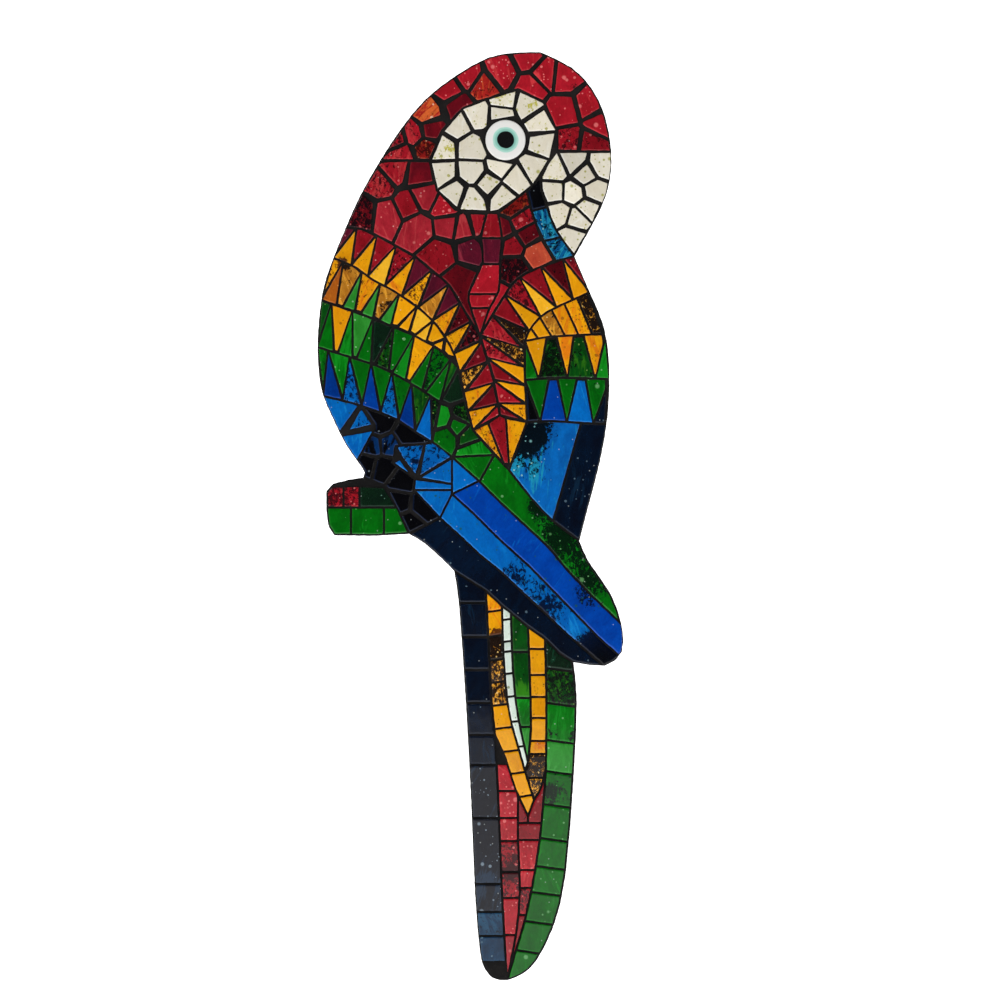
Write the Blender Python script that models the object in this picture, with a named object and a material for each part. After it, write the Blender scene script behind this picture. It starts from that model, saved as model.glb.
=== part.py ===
"""A macaw on a perch stub: a shaped wall panel of cut glass tiles, grouted onto a sawn board.

The panel hangs in the XZ plane. Its back lies on Y = 0, its tiles face -Y and +X is to the right.
The cartoon is drawn on a grid of GRID_ROWS squares to the panel's height, with x to the right and
y down. Each tile field is one solid: its own share of the grout, with its tiles standing in it.
"""

import math

import bmesh
import bpy
import numpy as np

# Driving sizes, in metres
PANEL_HEIGHT = 0.600
BOARD_THICKNESS = 0.009
GROUT_DEPTH = 0.002
GROUT_WIDTH = 0.0015
TILE_PROUD = 0.0009
TILE_SEAT = 0.0012
EYE_DIAMETER = 0.0258
EYE_PROUD = 0.0016
FIT_GAP = 0.0003
WELD = 1e-6
GLASS_ROUGHNESS = 0.12

# The cartoon's grid
GRID_ROWS = 930
UNIT = PANEL_HEIGHT / GRID_ROWS
GRID_CENTRE = np.array((470.0, 517.0))
CURVE_STEPS = 2
EYE_CENTRE = np.array((505.5, 140.0))
EYE_SIDES = 32

# Cutting habits, in grid squares or square grid squares
JOINT = GROUT_WIDTH / UNIT
COMB_SPINE = 0.6 * JOINT
TIP_SPACE = 2.6
BLUNT_TIP = 2.2
SMALLEST_TILE = 7.0
SHARD_SLACK = 0.03
BAND_REACH = 0.22
GOLD_ROW_FEET = 0.02
GREEN_ROW_FEET = 0.015
WING_GOLD_FEET = 0.06
WING_GREEN_FEET = 0.05

# What counts as nothing: in grid squares, except for the last two
SAME_POINT = 0.25
FLAT_CORNER = 0.3
SHORTEST_SIDE = 1e-3
SHORT_WAY = 0.01
NO_TURN = 1e-4

# Corners and cuts on the cartoon's grid
NAPE_CORNER = (380, 160)
PERCH_SHOULDER = np.array([(386.0, 487.0)])
PERCH_SEAM = 507.5
PERCH_CUTS = (343.5, 359.5)
PERCH_LOWER_CUTS = (351, 384)

COLLECTION = "macaw_mosaic_panel"
EYE_FIELD = "face_cream_tiles"


# Lines

def polyline(*points):
    """A line of straight runs."""
    return np.array(points, float)


def smooth(*points):
    """A line through the points. Each run is a Catmull-Rom curve, cut in CURVE_STEPS equal steps."""
    through = np.array(points, float)
    first = 2 * through[0] - through[1]
    last = 2 * through[-1] - through[-2]
    a, b, c, d = (np.vstack([first, through, last])[i : i + len(through) - 1] for i in range(4))
    t = (np.arange(CURVE_STEPS) / CURVE_STEPS)[None, :, None]
    a, b, c, d = (corner[:, None, :] for corner in (a, b, c, d))
    bend, twist = 2 * a - 5 * b + 4 * c - d, 3 * b - a - 3 * c + d
    curve = 0.5 * (2 * b + (c - a) * t + bend * t**2 + twist * t**3)
    return np.vstack([curve.reshape(-1, 2), through[-1:]])


def shares(line):
    """How far along the line each of its points is, from 0 to 1."""
    run = np.hypot(*np.diff(line, axis=0).T)
    return np.concatenate([[0.0], np.cumsum(run)]) / run.sum()


def at(line, share):
    """The point at this share of the line's length."""
    return np.array([np.interp(share, shares(line), line[:, axis]) for axis in (0, 1)])


def nearest(line, point):
    """The share of the line's length at which it passes closest to the point."""
    start, run = line[:-1], np.diff(line, axis=0)
    part = np.clip(((point - start) * run).sum(1) / (run**2).sum(1), 0, 1)
    off = np.hypot(*(start + part[:, None] * run - point).T)
    best = int(off.argmin())
    along = shares(line)
    return along[best] + part[best] * (along[best + 1] - along[best])


def reach(line, place, axis):
    """The share at which a line that runs down (axis 1) or to the right (axis 0) gets to this place."""
    return float(np.interp(place, line[:, axis], shares(line)))


def stretch(line, start=0.0, end=1.0):
    """The line's points between two shares, both ends included. It runs backwards if end < start."""
    low, high = min(start, end), max(start, end)
    along = shares(line)
    inner = line[(along > low + 1e-6) & (along < high - 1e-6)]
    found = np.vstack([at(line, low), inner, at(line, high)])
    return found if end > start else found[::-1]


def between(line, start, end):
    """The line's points from where it passes one point to where it passes another."""
    return stretch(line, nearest(line, start), nearest(line, end))


def ring(*lines):
    """One closed loop of lines laid end to end, without repeated points."""
    points = np.vstack(lines)
    apart = np.hypot(*(points - np.roll(points, 1, axis=0)).T) > SAME_POINT
    return points[apart]


def from_edge(line, edge):
    """The line with its first point moved onto an edge that it starts from."""
    return np.vstack([at(edge, nearest(edge, line[0])), line[1:]])


def to_edge(line, edge):
    """The line with its last point moved onto an edge that it runs up to."""
    return from_edge(line[::-1], edge)[::-1]


# Loops

def area(loop):
    """The loop's area, above zero where it turns from x towards y."""
    x, y = loop.T
    return 0.5 * float((x * np.roll(y, -1) - y * np.roll(x, -1)).sum())


def unit(way):
    """The direction with a length of 1."""
    return way / np.hypot(*way)


def cross(a, b):
    """The turn from a to b, for rows of directions."""
    return a[..., 0] * b[..., 1] - a[..., 1] * b[..., 0]


def inset(loop, margin):
    """The loop with each side moved in by the margin. A side that closes up is left out."""
    points = loop if area(loop) > 0 else loop[::-1]
    while len(points) >= 3:
        ahead = np.roll(points, -1, axis=0) - points
        ahead = ahead / np.hypot(*ahead.T)[:, None]
        moved = points + margin * np.stack([-ahead[:, 1], ahead[:, 0]], axis=1)
        before, moved_before = np.roll(ahead, 1, axis=0), np.roll(moved, 1, axis=0)
        turn = cross(before, ahead)
        straight = np.abs(turn) < NO_TURN
        run = cross(moved - moved_before, ahead) / np.where(straight, 1.0, turn)
        corners = np.where(straight[:, None], moved, moved_before + run[:, None] * before)
        kept = ((np.roll(corners, -1, axis=0) - corners) * ahead).sum(1)
        if kept.min() > SHORTEST_SIDE:
            return corners
        points = without_side(points, int(kept.argmin()))
    return None


def without_side(points, side):
    """The loop without one side: its two neighbours run on until they meet."""
    count = len(points)
    if count <= 3:
        return points[:0]
    before, start, end, after = (points[(side + i) % count] for i in (-1, 0, 1, 2))
    first, second = start - before, after - end
    turn = cross(first, second)
    meet = (start + end) / 2
    if abs(turn) > NO_TURN * np.hypot(*first) * np.hypot(*second):
        meet = before + first * cross(end - before, second) / turn
    rest = np.array([points[(side + i) % count] for i in range(2, count)])
    return np.vstack([meet, rest])


def few_sides(loop):
    """The loop without the corners that hardly stand out from a line between their neighbours."""
    while len(loop) > 3:
        before, after = np.roll(loop, 1, axis=0), np.roll(loop, -1, axis=0)
        chord = after - before
        stands_out = np.abs(cross(chord, loop - before)) / np.hypot(*chord.T)
        if stands_out.min() > FLAT_CORNER:
            break
        loop = np.delete(loop, stands_out.argmin(), axis=0)
    return loop


def split(loop, point, direction):
    """The loop's two parts beside a straight cut, or None where the cut crosses it more than twice."""
    beside = cross(np.broadcast_to(direction, loop.shape), loop - point)
    following = np.roll(beside, -1)
    crossing = np.flatnonzero((beside > 0) != (following > 0))
    if len(crossing) != 2:
        return None
    share = beside[crossing] / (beside[crossing] - following[crossing])
    cuts = loop[crossing] + share[:, None] * (np.roll(loop, -1, axis=0)[crossing] - loop[crossing])
    first, second = crossing
    inner = np.vstack([cuts[0], loop[first + 1 : second + 1], cuts[1]])
    outer = np.vstack([cuts[1], loop[second + 1 :], loop[: first + 1], cuts[0]])
    return inner, outer


def nearer(loop, middle, other, share):
    """The part of the loop up to this share of the way from one tile's middle to another's."""
    toward = other - middle
    beyond = (loop - middle - share * toward) @ toward
    following = np.roll(beyond, -1)
    crossing = (beyond > 0) != (following > 0)
    part = beyond / np.where(crossing, beyond - following, 1.0)
    cuts = loop + part[:, None] * (np.roll(loop, -1, axis=0) - loop)
    return np.stack([loop, cuts], axis=1)[np.stack([beyond <= 0, crossing], axis=1)]


def shards(section, middles, chance):
    """Paving with a tile round each middle: what is nearer to it than to the others, less some slack.

    The section gives the part of the field that lies near a middle.
    """
    cells = []
    for middle in middles:
        cell = section(middle)
        for other in middles:
            if other is not middle:
                cell = nearer(cell, middle, other, 0.5 - chance.uniform(0, SHARD_SLACK))
        cells.append(ring(cell))
    return cells


# Patterns of cells

def blocks(first, second, count):
    """Cells side by side between two lines, at equal shares of both."""
    cuts = np.linspace(0, 1, count + 1)
    return [ring(stretch(first, a, b), stretch(second, b, a)) for a, b in zip(cuts, cuts[1:])]


def stack(first, second, places, slope=0.0, axis=1):
    """Cells one after another between two lines that run down, or to the right, parted at the places."""
    on_first = [0.0] + [reach(first, place, axis) for place in places] + [1.0]
    on_second = [0.0] + [reach(second, place + slope, axis) for place in places] + [1.0]
    spans = zip(on_first, on_first[1:], on_second, on_second[1:])
    return [ring(stretch(first, a, b), stretch(second, d, c)) for a, b, c, d in spans]


def on_spine(base, crest, share):
    """The point on the spine's edge at this share: square to the base line, or along the comb's end."""
    foot, head = at(base, share), at(crest, share)
    if share in (0, 1):
        return foot + COMB_SPINE * unit(head - foot)
    way = unit(at(base, share + SHORT_WAY) - at(base, share - SHORT_WAY))
    square = np.array((-way[1], way[0]))
    return foot + math.copysign(COMB_SPINE, square @ (head - foot)) * square


def combs(base, crest, count, blunt_base=0.0):
    """Two combs of teeth that mesh: some stand on the base line, and others hang from the crest line.

    Each comb has a narrow spine along its own line, which joins its teeth. It gives the standing
    comb's outline and cells, then the hanging comb's.
    """
    path, standing, hanging = [], [], []
    hang_from = 0.0
    for i in range(count):
        foot = i / count + (blunt_base if i else 0.0)
        next_foot = (i + 1) / count - (blunt_base if i < count - 1 else 0.0)
        tip = (i + 0.5) / count
        left, right, top = at(base, foot), at(base, next_foot), at(crest, tip)
        along = unit(at(crest, tip + SHORT_WAY) - at(crest, tip - SHORT_WAY)) * BLUNT_TIP / 2
        down = unit((left + right) / 2 - top)
        tooth_tip = [top + down * TIP_SPACE - along, top + down * TIP_SPACE + along]
        standing.append(ring(stretch(base, next_foot, foot), np.array(tooth_tip)))
        path += [on_spine(base, crest, foot), *tooth_tip, on_spine(base, crest, next_foot)]
        valley = [path[-4], path[-5]] if i else [path[0]]
        hanging.append(ring(stretch(crest, hang_from, tip), np.array(valley)))
        hang_from = tip
    hanging.append(ring(stretch(crest, hang_from, 1.0), path[-1:]))
    path = np.array(path)
    return (ring(path, base[::-1]), standing), (ring(path, crest[::-1]), hanging)


# The cartoon's lines, each drawn from one corner of the picture to the next

BACK = smooth(
    (361.5, 467), (346, 445), (333, 419), (322, 393), (318, 366), (317.5, 335), (322, 293),
    (331, 263), (346, 226), (360, 195), (380, 160), (401, 128), (425, 99), (455, 75.5),
    (488, 57), (516, 52), (541, 51.5),
)
BROW = smooth(
    (541, 51.5), (572, 67), (592, 88), (605, 115), (611.5, 150), (610, 180), (601, 208), (574.5, 256),
)
WING_EDGE = smooth(
    (574.5, 256), (590, 292), (604, 326), (609.5, 365), (608, 415), (600, 462), (587, 512), (579.5, 541),
)
FEATHER_END = smooth(
    (579.5, 541), (589, 562), (611, 594), (622, 626), (622, 652), (605, 666), (573.5, 662.5),
)
TAIL_RIGHT = smooth(
    (573.5, 662.5), (577, 700), (574, 775), (566, 874), (554, 926), (536, 962), (521, 975.5), (507, 981),
)
TAIL_LEFT = smooth(
    (454, 571), (459, 606), (466, 707), (471, 801), (475, 896), (480, 953), (485, 970),
    (494, 979.5), (507, 981),
)
UNDERSIDE = smooth((454, 571), (442, 559), (424, 543), (409, 534))
PERCH_UNDER = polyline((409, 534), (374, 536), (334, 535.5), (328, 526))
PERCH_END = polyline((328, 526), (326, 510), (326, 491))
PERCH_TOP = polyline((326, 491), (333, 483.5), (349, 479.5), (363, 477.5))
ARMPIT = polyline((363, 477.5), (364.5, 472.5), (361.5, 467))

FACE = polyline(
    (430, 161), (442, 131), (463, 108), (489, 98), (517, 89), (544, 102), (556.5, 130), (550, 159),
    (534, 184), (521, 195), (498, 213), (457, 210), (437, 190),
)
BEAK_TOP = to_edge(polyline((556.5, 151.5), (611.5, 151.5)), BROW)
GAPE = smooth((556.5, 151.5), (541, 177), (546, 203), (556, 230), (574.5, 256))
JAW = smooth((527, 190), (532, 212), (543, 239), (556, 261))
KEEL_LEFT = smooth((487, 212.7), (481, 238), (483, 262), (469, 292), (471, 309), (480, 336))
KEEL_RIGHT = smooth((498, 213), (502, 238), (500, 262), (499, 290), (489, 309), (480, 336))

MIDRIB = smooth((480, 336), (488, 361), (494, 382), (500, 415))
LEFT_CREST = from_edge(smooth(
    (345.4, 227.4), (362, 229), (380, 237), (398, 247), (416, 257), (433, 271), (450, 286),
    (463, 308), (480, 336),
), BACK)
LEFT_BASE = from_edge(smooth(
    (333, 257.6), (355, 267), (373, 280), (389, 288), (405, 298), (419, 308), (432, 320), (444, 335),
    (455, 356), (461, 379), (466, 403), (473, 430),
), BACK)
RIGHT_CREST = smooth(
    (574.5, 256), (556, 261), (535, 269), (516, 280), (502, 299), (489, 320), (480, 336),
)
RIGHT_BASE = smooth(
    (590, 292), (568, 302), (547, 312), (533, 325), (525, 341), (524.6, 360), (525, 380),
    (526, 401), (527, 422),
)

LAPEL = at(LEFT_BASE, nearest(LEFT_BASE, (458, 368)))
ROW_1 = from_edge(
    smooth((321, 300), (340, 307), (358, 313), (376, 320), (399, 329), (419, 338), (440, 350), LAPEL),
    BACK,
)
ROW_2 = from_edge(
    smooth((317.5, 347), (340, 354), (360, 360), (380, 367), (400, 377), (420, 389), (440, 402)), BACK
)
ROW_3 = from_edge(smooth(
    (323, 396), (345, 401), (362, 406), (382, 413), (400, 421), (417, 433), (432, 442), (452, 457),
), BACK)
BELLY_NOTCH = to_edge(polyline((374, 424), (374, 430), (357, 461)), BACK)
BELLY_STEP = polyline((425, 444), (396, 446), (393, 463), (415, 479), (414, 490), (440, 518))
WING_ROW_1 = to_edge(smooth((525, 341), (546, 337), (562, 336), (577, 335), (605.6, 334)), WING_EDGE)
WING_ROW_2 = to_edge(smooth((525, 380), (550, 378), (575, 378), (609.8, 379)), WING_EDGE)
WING_ROW_3 = to_edge(smooth((527, 422), (553, 421), (581, 423), (607.5, 424)), WING_EDGE)

GREEN_UPPER = smooth((495, 455), (509, 470), (531, 498), (553, 521), (579.5, 541))
ROYAL_UPPER = to_edge(smooth(
    (479, 481), (500, 502), (530, 530), (550, 549), (568, 571), (590, 594), (621.5, 624),
), FEATHER_END)
ROYAL_LOWER = to_edge(smooth(
    (452, 494), (474, 514), (499, 539), (530, 567), (562, 600), (599, 638), (619.5, 656),
), FEATHER_END)
SKY_LOWER = to_edge(smooth(
    (440, 518), (460, 536), (480, 555), (500, 571), (530, 599), (568, 635), (603, 666),
), FEATHER_END)

TAIL_TOP = polyline(
    (454, 571), (486, 591), (502, 606), (511, 613), (528, 627), (545, 639), (560, 654),
    (573.5, 662.5),
)
NAVY_RIGHT = smooth((486, 591), (489, 650), (491.5, 700), (495, 735))
RED_LEFT = smooth((495, 735), (498, 790), (501, 870), (504, 930), (507, 981))
GOLD_POINT = smooth((495, 735), (505, 757), (515, 788), (528, 816))
GOLD_RIGHT = smooth(
    (502, 606), (503, 645), (506, 690), (511, 722), (519, 750), (525, 771), (534, 800),
)
WHITE_RIGHT = smooth((511, 613), (512, 650), (514.5, 690), (519, 722), (528, 762))
AMBER_LEFT = smooth((528, 627), (530, 680), (531, 730), (528, 762))
AMBER_RIGHT = smooth((545, 639), (546.5, 700), (546, 768))
AMBER_TAPER = smooth((546, 768), (541, 788), (534, 800))
GREEN_LEFT = smooth((546, 768), (541, 830), (534, 877), (525, 920), (516, 950), (507, 981))
RED_FORK = at(GOLD_POINT, reach(GOLD_POINT, 795, 1))
RED_SEAM = smooth(RED_FORK, (518, 840), (520, 890), (516, 935), (507, 981))

# The middles of the paving tiles
CROWN_TILES = polyline(
    (402, 153), (397, 139), (413, 134), (426, 149), (433, 131), (428, 111), (449, 90), (459, 106),
    (467, 77), (483, 88), (502, 72), (528, 59), (531, 87), (544, 74), (565, 76), (563, 112),
    (591, 104), (601, 124), (567, 141), (592, 144),
)
NAPE_TILES = polyline(
    (396, 171), (419, 174), (380, 185), (363, 211), (387, 214), (407, 205), (424, 197), (419, 228),
    (445, 207), (448, 225), (464, 228), (441, 253), (470, 250), (462, 280), (479, 224),
)
FACE_TILES = polyline(
    (442, 149), (457, 125), (477, 114), (503, 99), (501, 115), (528, 105), (540, 122), (542, 144),
    (534, 167), (515, 179), (500, 167), (501, 196), (489, 185), (473, 199), (455, 192), (443, 173),
    (471, 171), (472, 149),
)
THROAT_TILES = polyline(
    (512, 208), (521, 221), (503, 228), (511, 245), (538, 251), (528, 234), (512, 269), (497, 297),
)
BEAK_TILES = polyline(
    (555, 171), (574, 162), (585, 174), (601, 165), (554, 191), (573, 192), (594, 191), (559, 214),
    (588, 209), (578, 219), (572, 238),
)
SIDE_TILES = polyline((455, 390), (463, 414), (441, 420), (446, 437), (457, 426), (468, 437), (473, 450))
BELLY_TILES = polyline(
    (381, 423), (406, 436), (390, 446), (371, 448), (366, 463), (384, 467), (403, 481), (399, 503),
    (422, 506), (408, 524),
)


def outline():
    """The whole panel's edge, clockwise from the armpit."""
    return ring(
        BACK, BROW, WING_EDGE, FEATHER_END, TAIL_RIGHT, TAIL_LEFT[::-1],
        UNDERSIDE, PERCH_UNDER, PERCH_END, PERCH_TOP, ARMPIT,
    )


# Tile fields: each function gives the field's outline and its tiles' cells

def shard_ring(inner, outer, middles, seed):
    """A field between two lines, paved with a tile round each middle."""
    def section(middle):
        on_inner = np.clip(nearest(inner, middle) + np.array((-BAND_REACH, BAND_REACH)), 0, 1)
        on_outer = np.clip(nearest(outer, middle) + np.array((BAND_REACH, -BAND_REACH)), 0, 1)
        return ring(stretch(inner, *on_inner), stretch(outer, *on_outer))

    return ring(inner, outer[::-1]), shards(section, middles, np.random.default_rng(seed))


def shard_field(loop, middles, seed):
    """A field inside one loop, paved with a tile round each middle."""
    return loop, shards(lambda middle: loop, middles, np.random.default_rng(seed))


def crown():
    """The red ring over the face, from the nape to the top of the beak."""
    inner = ring(FACE[:7], BEAK_TOP[:1])
    outer = ring(between(BACK, NAPE_CORNER, BACK[-1]), between(BROW, BROW[0], BEAK_TOP[-1]))
    return shard_ring(inner, outer, CROWN_TILES, seed=5)


def nape():
    """The red ring under the face, from the back round to the keel, down to the gold teeth."""
    inner = ring(FACE[:1], FACE[:10:-1], KEEL_LEFT)
    outer = ring(between(BACK, NAPE_CORNER, LEFT_CREST[0]), LEFT_CREST)
    return shard_ring(inner, outer, NAPE_TILES, seed=11)


def face():
    """Cream paving round the eye. A tile that the eye would cut into ends at a straight cut beside it."""
    rim = EYE_DIAMETER / 2 / UNIT + JOINT / 2
    loop, whole = shard_field(FACE, FACE_TILES, seed=9)
    cells = []
    for cell, middle in zip(whole, FACE_TILES):
        beside_eye = 1 - rim / math.dist(middle, EYE_CENTRE)
        cells.append(ring(nearer(cell, middle, EYE_CENTRE, beside_eye)))
    return loop, cells


def keel():
    """A column of bright red tiles down the front of the neck."""
    return ring(KEEL_LEFT, KEEL_RIGHT[::-1]), stack(KEEL_LEFT, KEEL_RIGHT, (238, 264, 294, 308))


def throat():
    """Red paving between the keel, the jaw and the right gold teeth."""
    outer = ring(KEEL_RIGHT[:1], FACE[9:10], JAW, between(RIGHT_CREST, JAW[-1], KEEL_RIGHT[-1]))
    return shard_ring(KEEL_RIGHT, outer, THROAT_TILES, seed=3)


def upper_beak():
    """Cream paving from the beak's top down to its tip."""
    loop = ring(BEAK_TOP, between(BROW, BEAK_TOP[-1], BROW[-1]), GAPE[::-1])
    return shard_field(loop, BEAK_TILES, seed=2)


def jaw():
    """Three tiles down the lower beak, between the throat and the upper beak."""
    right = between(GAPE, (541, 177), GAPE[-1])
    left = ring(JAW, GAPE[-1:])
    cells = stack(left, right, (211, 241, 259), slope=-4)[:-1]
    return ring(FACE[8:10], left, right[::-1]), cells


def breast_tip():
    """Two gold tiles and a red one between them, where the two wings meet."""
    left, heart, right = LEFT_BASE[-1], MIDRIB[-1], RIGHT_BASE[-1]
    loop = ring([left, heart, right, GREEN_UPPER[2], GREEN_UPPER[0]])
    cells = [
        polyline(left, (488, 423), (504, 464)),
        polyline((488, 423), heart, (506, 418), (509, 464), (504, 464)),
        polyline((506, 418), right, (511.2, 464), (509, 464)),
    ]
    return loop, cells


def meshed_row(base, crest, count, blunt_base):
    """A row of teeth that stand and teeth that hang, all in one field."""
    (_, standing), (_, hanging) = combs(base, crest, count, blunt_base)
    return ring(crest, base[::-1]), standing + hanging


def right_gold_row():
    """Six upright gold tiles under the right gold teeth."""
    base = between(RIGHT_BASE, WING_ROW_1[0], RIGHT_BASE[0])
    edge = between(WING_EDGE, RIGHT_BASE[0], WING_ROW_1[-1])
    return ring(base, edge, WING_ROW_1[::-1]), blocks(base, WING_ROW_1, 6)


def side_green():
    """Green paving between the wing rows and the breast."""
    lapel = between(LEFT_BASE, LAPEL, LEFT_BASE[-1])
    row_end = between(ROW_3, ROW_3[-1], (432, 442))
    return shard_field(ring(ROW_2[-1:], lapel, GREEN_UPPER[:1], row_end), SIDE_TILES, seed=4)


def belly_edge():
    """Three blue tiles along the belly's edge, under the wing rows."""
    row = between(ROW_3, ROW_3[0], (362, 406))
    edge = between(BACK, BELLY_NOTCH[-1], ROW_3[0])
    cells = [
        ring(row[:-1], polyline((359, 405.5), (340, 432)), between(BACK, (338, 430), ROW_3[0])),
        polyline((361, 407), (373, 425), (348, 431)),
        ring(polyline((340, 436), (374, 430)), between(BACK, BELLY_NOTCH[-1], (341, 437))),
    ]
    return ring(row, BELLY_NOTCH, edge), cells


def belly_black():
    """Black paving from the wing down over the leg."""
    row = between(ROW_3, (362, 406), (432, 442))
    foot = ring(UNDERSIDE[-1:], PERCH_SHOULDER, PERCH_TOP[-1:], ARMPIT)
    edge = between(BACK, BACK[0], BELLY_NOTCH[-1])
    return shard_field(ring(row, BELLY_STEP, foot, edge, BELLY_NOTCH[::-1]), BELLY_TILES, seed=8)


def belly_blue():
    """Blue tiles in a fan over the long feathers' root."""
    row = between(ROW_3, (432, 442), ROW_3[-1])
    root, shaft = ROYAL_LOWER[0], (452, 484)
    cells = [
        polyline(BELLY_STEP[0], BELLY_STEP[1], (402, 458), (416, 476)),
        polyline((432, 442), (443, 449), (452, 457), (419, 477), (425, 444)),
        polyline((393, 463), (400, 459), (413, 477)),
        polyline((419, 478), (452, 458), shaft),
        polyline((415, 479), shaft, (452, 490), (414, 490)),
        polyline((414, 490), (452, 490), root, (440, 518)),
        polyline((452, 457), ROYAL_UPPER[0], root),
    ]
    return ring(row, ROYAL_UPPER[:1], ROYAL_LOWER[:1], BELLY_STEP[::-1]), cells


def single(*lines):
    """A field that is one tile."""
    loop = ring(*lines)
    return loop, [loop]


def navy_feather():
    """The short navy feather under the long ones, down to the tail."""
    tip = between(FEATHER_END, SKY_LOWER[-1], FEATHER_END[-1])
    return single(SKY_LOWER, tip, TAIL_TOP[::-1], UNDERSIDE)


def sky_feather():
    """The lowest of the three long feathers."""
    return single(ROYAL_LOWER, between(FEATHER_END, ROYAL_LOWER[-1], SKY_LOWER[-1]), SKY_LOWER[::-1])


def royal_feather():
    """The middle one of the three long feathers."""
    return single(ROYAL_UPPER, between(FEATHER_END, ROYAL_UPPER[-1], ROYAL_LOWER[-1]), ROYAL_LOWER[::-1])


def green_feather():
    """The long green feather, and the short tile at its root."""
    upper = ring(GREEN_UPPER, between(FEATHER_END, FEATHER_END[0], ROYAL_UPPER[-1]))
    lower = ring(ROW_3[-1:], ROYAL_UPPER)
    halves = split(ring(upper, lower[::-1]), np.array((493, 457)), unit(np.array((-13, 24))))
    return ring(upper, lower[::-1]), list(halves)


def right_blue_feather():
    """The right wing's broad lower feather."""
    top = between(WING_ROW_3, WING_ROW_3[0], (581, 423))
    return single(top, between(GREEN_UPPER, (553, 521), GREEN_UPPER[2]))


def right_navy_feather():
    """The right wing's outer lower feather."""
    top = between(WING_ROW_3, (581, 423), WING_ROW_3[-1])
    edge = between(WING_EDGE, WING_ROW_3[-1], WING_EDGE[-1])
    return single(top, edge, between(GREEN_UPPER, GREEN_UPPER[-1], (553, 521)))


def perch_red():
    """Two red tiles at the perch's end, over the green ones."""
    top = stretch(PERCH_TOP, 0, reach(PERCH_TOP, PERCH_CUTS[1], 0))
    seam = polyline((326, PERCH_SEAM), (PERCH_CUTS[1], PERCH_SEAM))
    tiles_top = polyline((327, 491), (332, 486.5), (PERCH_CUTS[1], 486))
    return ring(top, seam[::-1]), stack(tiles_top, seam, PERCH_CUTS[:1], axis=0)


def perch_green():
    """Three green tiles along the perch's underside, and a dark one by the leg."""
    top = stretch(PERCH_TOP, reach(PERCH_TOP, PERCH_CUTS[1], 0), 1)
    seam = polyline((326, PERCH_SEAM), (397, PERCH_SEAM))
    step = polyline(seam[0], (PERCH_CUTS[1], PERCH_SEAM))
    under = ring(PERCH_END[:1], PERCH_UNDER[::-1])
    dark = polyline((PERCH_CUTS[1], 486), (384, 487), seam[-1], (PERCH_CUTS[1], PERCH_SEAM))
    loop = ring(top, PERCH_SHOULDER, PERCH_UNDER, step)
    return loop, [dark] + stack(seam, under, PERCH_LOWER_CUTS, axis=0)


def tail_navy():
    """The navy column along the tail's left edge. Its last cell is bare grout."""
    right = ring(NAVY_RIGHT, RED_LEFT)
    loop = ring(TAIL_TOP[:1], right, TAIL_LEFT[::-1])
    return loop, stack(TAIL_LEFT, right, (603, 637, 670, 703, 735, 765, 818, 884, 912, 936, 962))[:-1]


def tail_gold():
    """The gold column, which narrows to a point between the red ones."""
    left, right = ring(NAVY_RIGHT, GOLD_POINT), ring(GOLD_RIGHT, GOLD_POINT[-1:])
    places = (612, 637, 661, 683, 706, 729, 752, 774, 797)
    return ring(left, right[::-1]), stack(left, right, places, slope=-2)


def tail_white():
    """The narrow pale column, down to the gold one's bend."""
    left, right = between(GOLD_RIGHT, GOLD_RIGHT[0], (525, 771)), ring(WHITE_RIGHT, polyline((525, 771)))
    return ring(left, right[::-1]), stack(left, right, (620, 642, 652, 674, 697, 722, 747), slope=-1)


def tail_inner_green():
    """The narrow green column between the pale one and the amber one."""
    return ring(WHITE_RIGHT, AMBER_LEFT[::-1]), stack(WHITE_RIGHT, AMBER_LEFT, (652, 698, 727))


def tail_amber():
    """The amber column, which tapers to the gold point."""
    left = ring(AMBER_LEFT, between(GOLD_RIGHT, (525, 771), GOLD_RIGHT[-1]))
    right = ring(AMBER_RIGHT, AMBER_TAPER)
    return ring(left, right[::-1]), stack(left, right, (649, 675, 697, 718, 741, 754, 778))


def tail_green():
    """The green column down the tail's right edge."""
    left, right = ring(AMBER_RIGHT, GREEN_LEFT), ring(TAIL_TOP[5:], TAIL_RIGHT)
    places = (668, 703, 740, 771, 804, 838, 866, 892, 921, 950)
    return ring(left, right[::-1]), stack(left, right, places, slope=4)


def tail_red_left():
    """The narrow red column beside the navy one. Its top, up to the fork, is bare grout."""
    right = ring(between(GOLD_POINT, GOLD_POINT[0], RED_FORK), RED_SEAM)
    return ring(RED_LEFT, right[::-1]), stack(RED_LEFT, right, (764, 791, 818, 841, 872, 898, 935))[1:]


def tail_red_right():
    """The red column that starts as a fork round the gold point."""
    crotch = ring(AMBER_TAPER, GOLD_POINT[-1:], between(GOLD_POINT, GOLD_POINT[-1], RED_FORK))
    column = stack(RED_SEAM, GREEN_LEFT, (823, 840, 870, 888, 915))[1:]
    left = polyline(RED_FORK, GOLD_POINT[-1], (528, 823), at(RED_SEAM, reach(RED_SEAM, 823, 1)))
    green_side = stretch(GREEN_LEFT, 0, reach(GREEN_LEFT, 823, 1))
    right = ring(green_side, polyline((528, 823)), GOLD_POINT[-1:], AMBER_TAPER[::-1])
    return ring(GREEN_LEFT[::-1], crotch, RED_SEAM), [left, right] + column


# Colours of the glass, from the panel

RED = (0.52, 0.012, 0.02)
DEEP_RED = (0.26, 0.006, 0.012)
CREAM = (0.80, 0.76, 0.66)
GOLD = (0.86, 0.40, 0.01)
GREEN = (0.006, 0.16, 0.012)
BLUE = (0.0, 0.10, 0.50)
SKY = (0.0, 0.18, 0.60)
NAVY = (0.002, 0.008, 0.03)
BLACK = (0.006, 0.006, 0.007)
MINT = (0.62, 0.80, 0.72)


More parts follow.
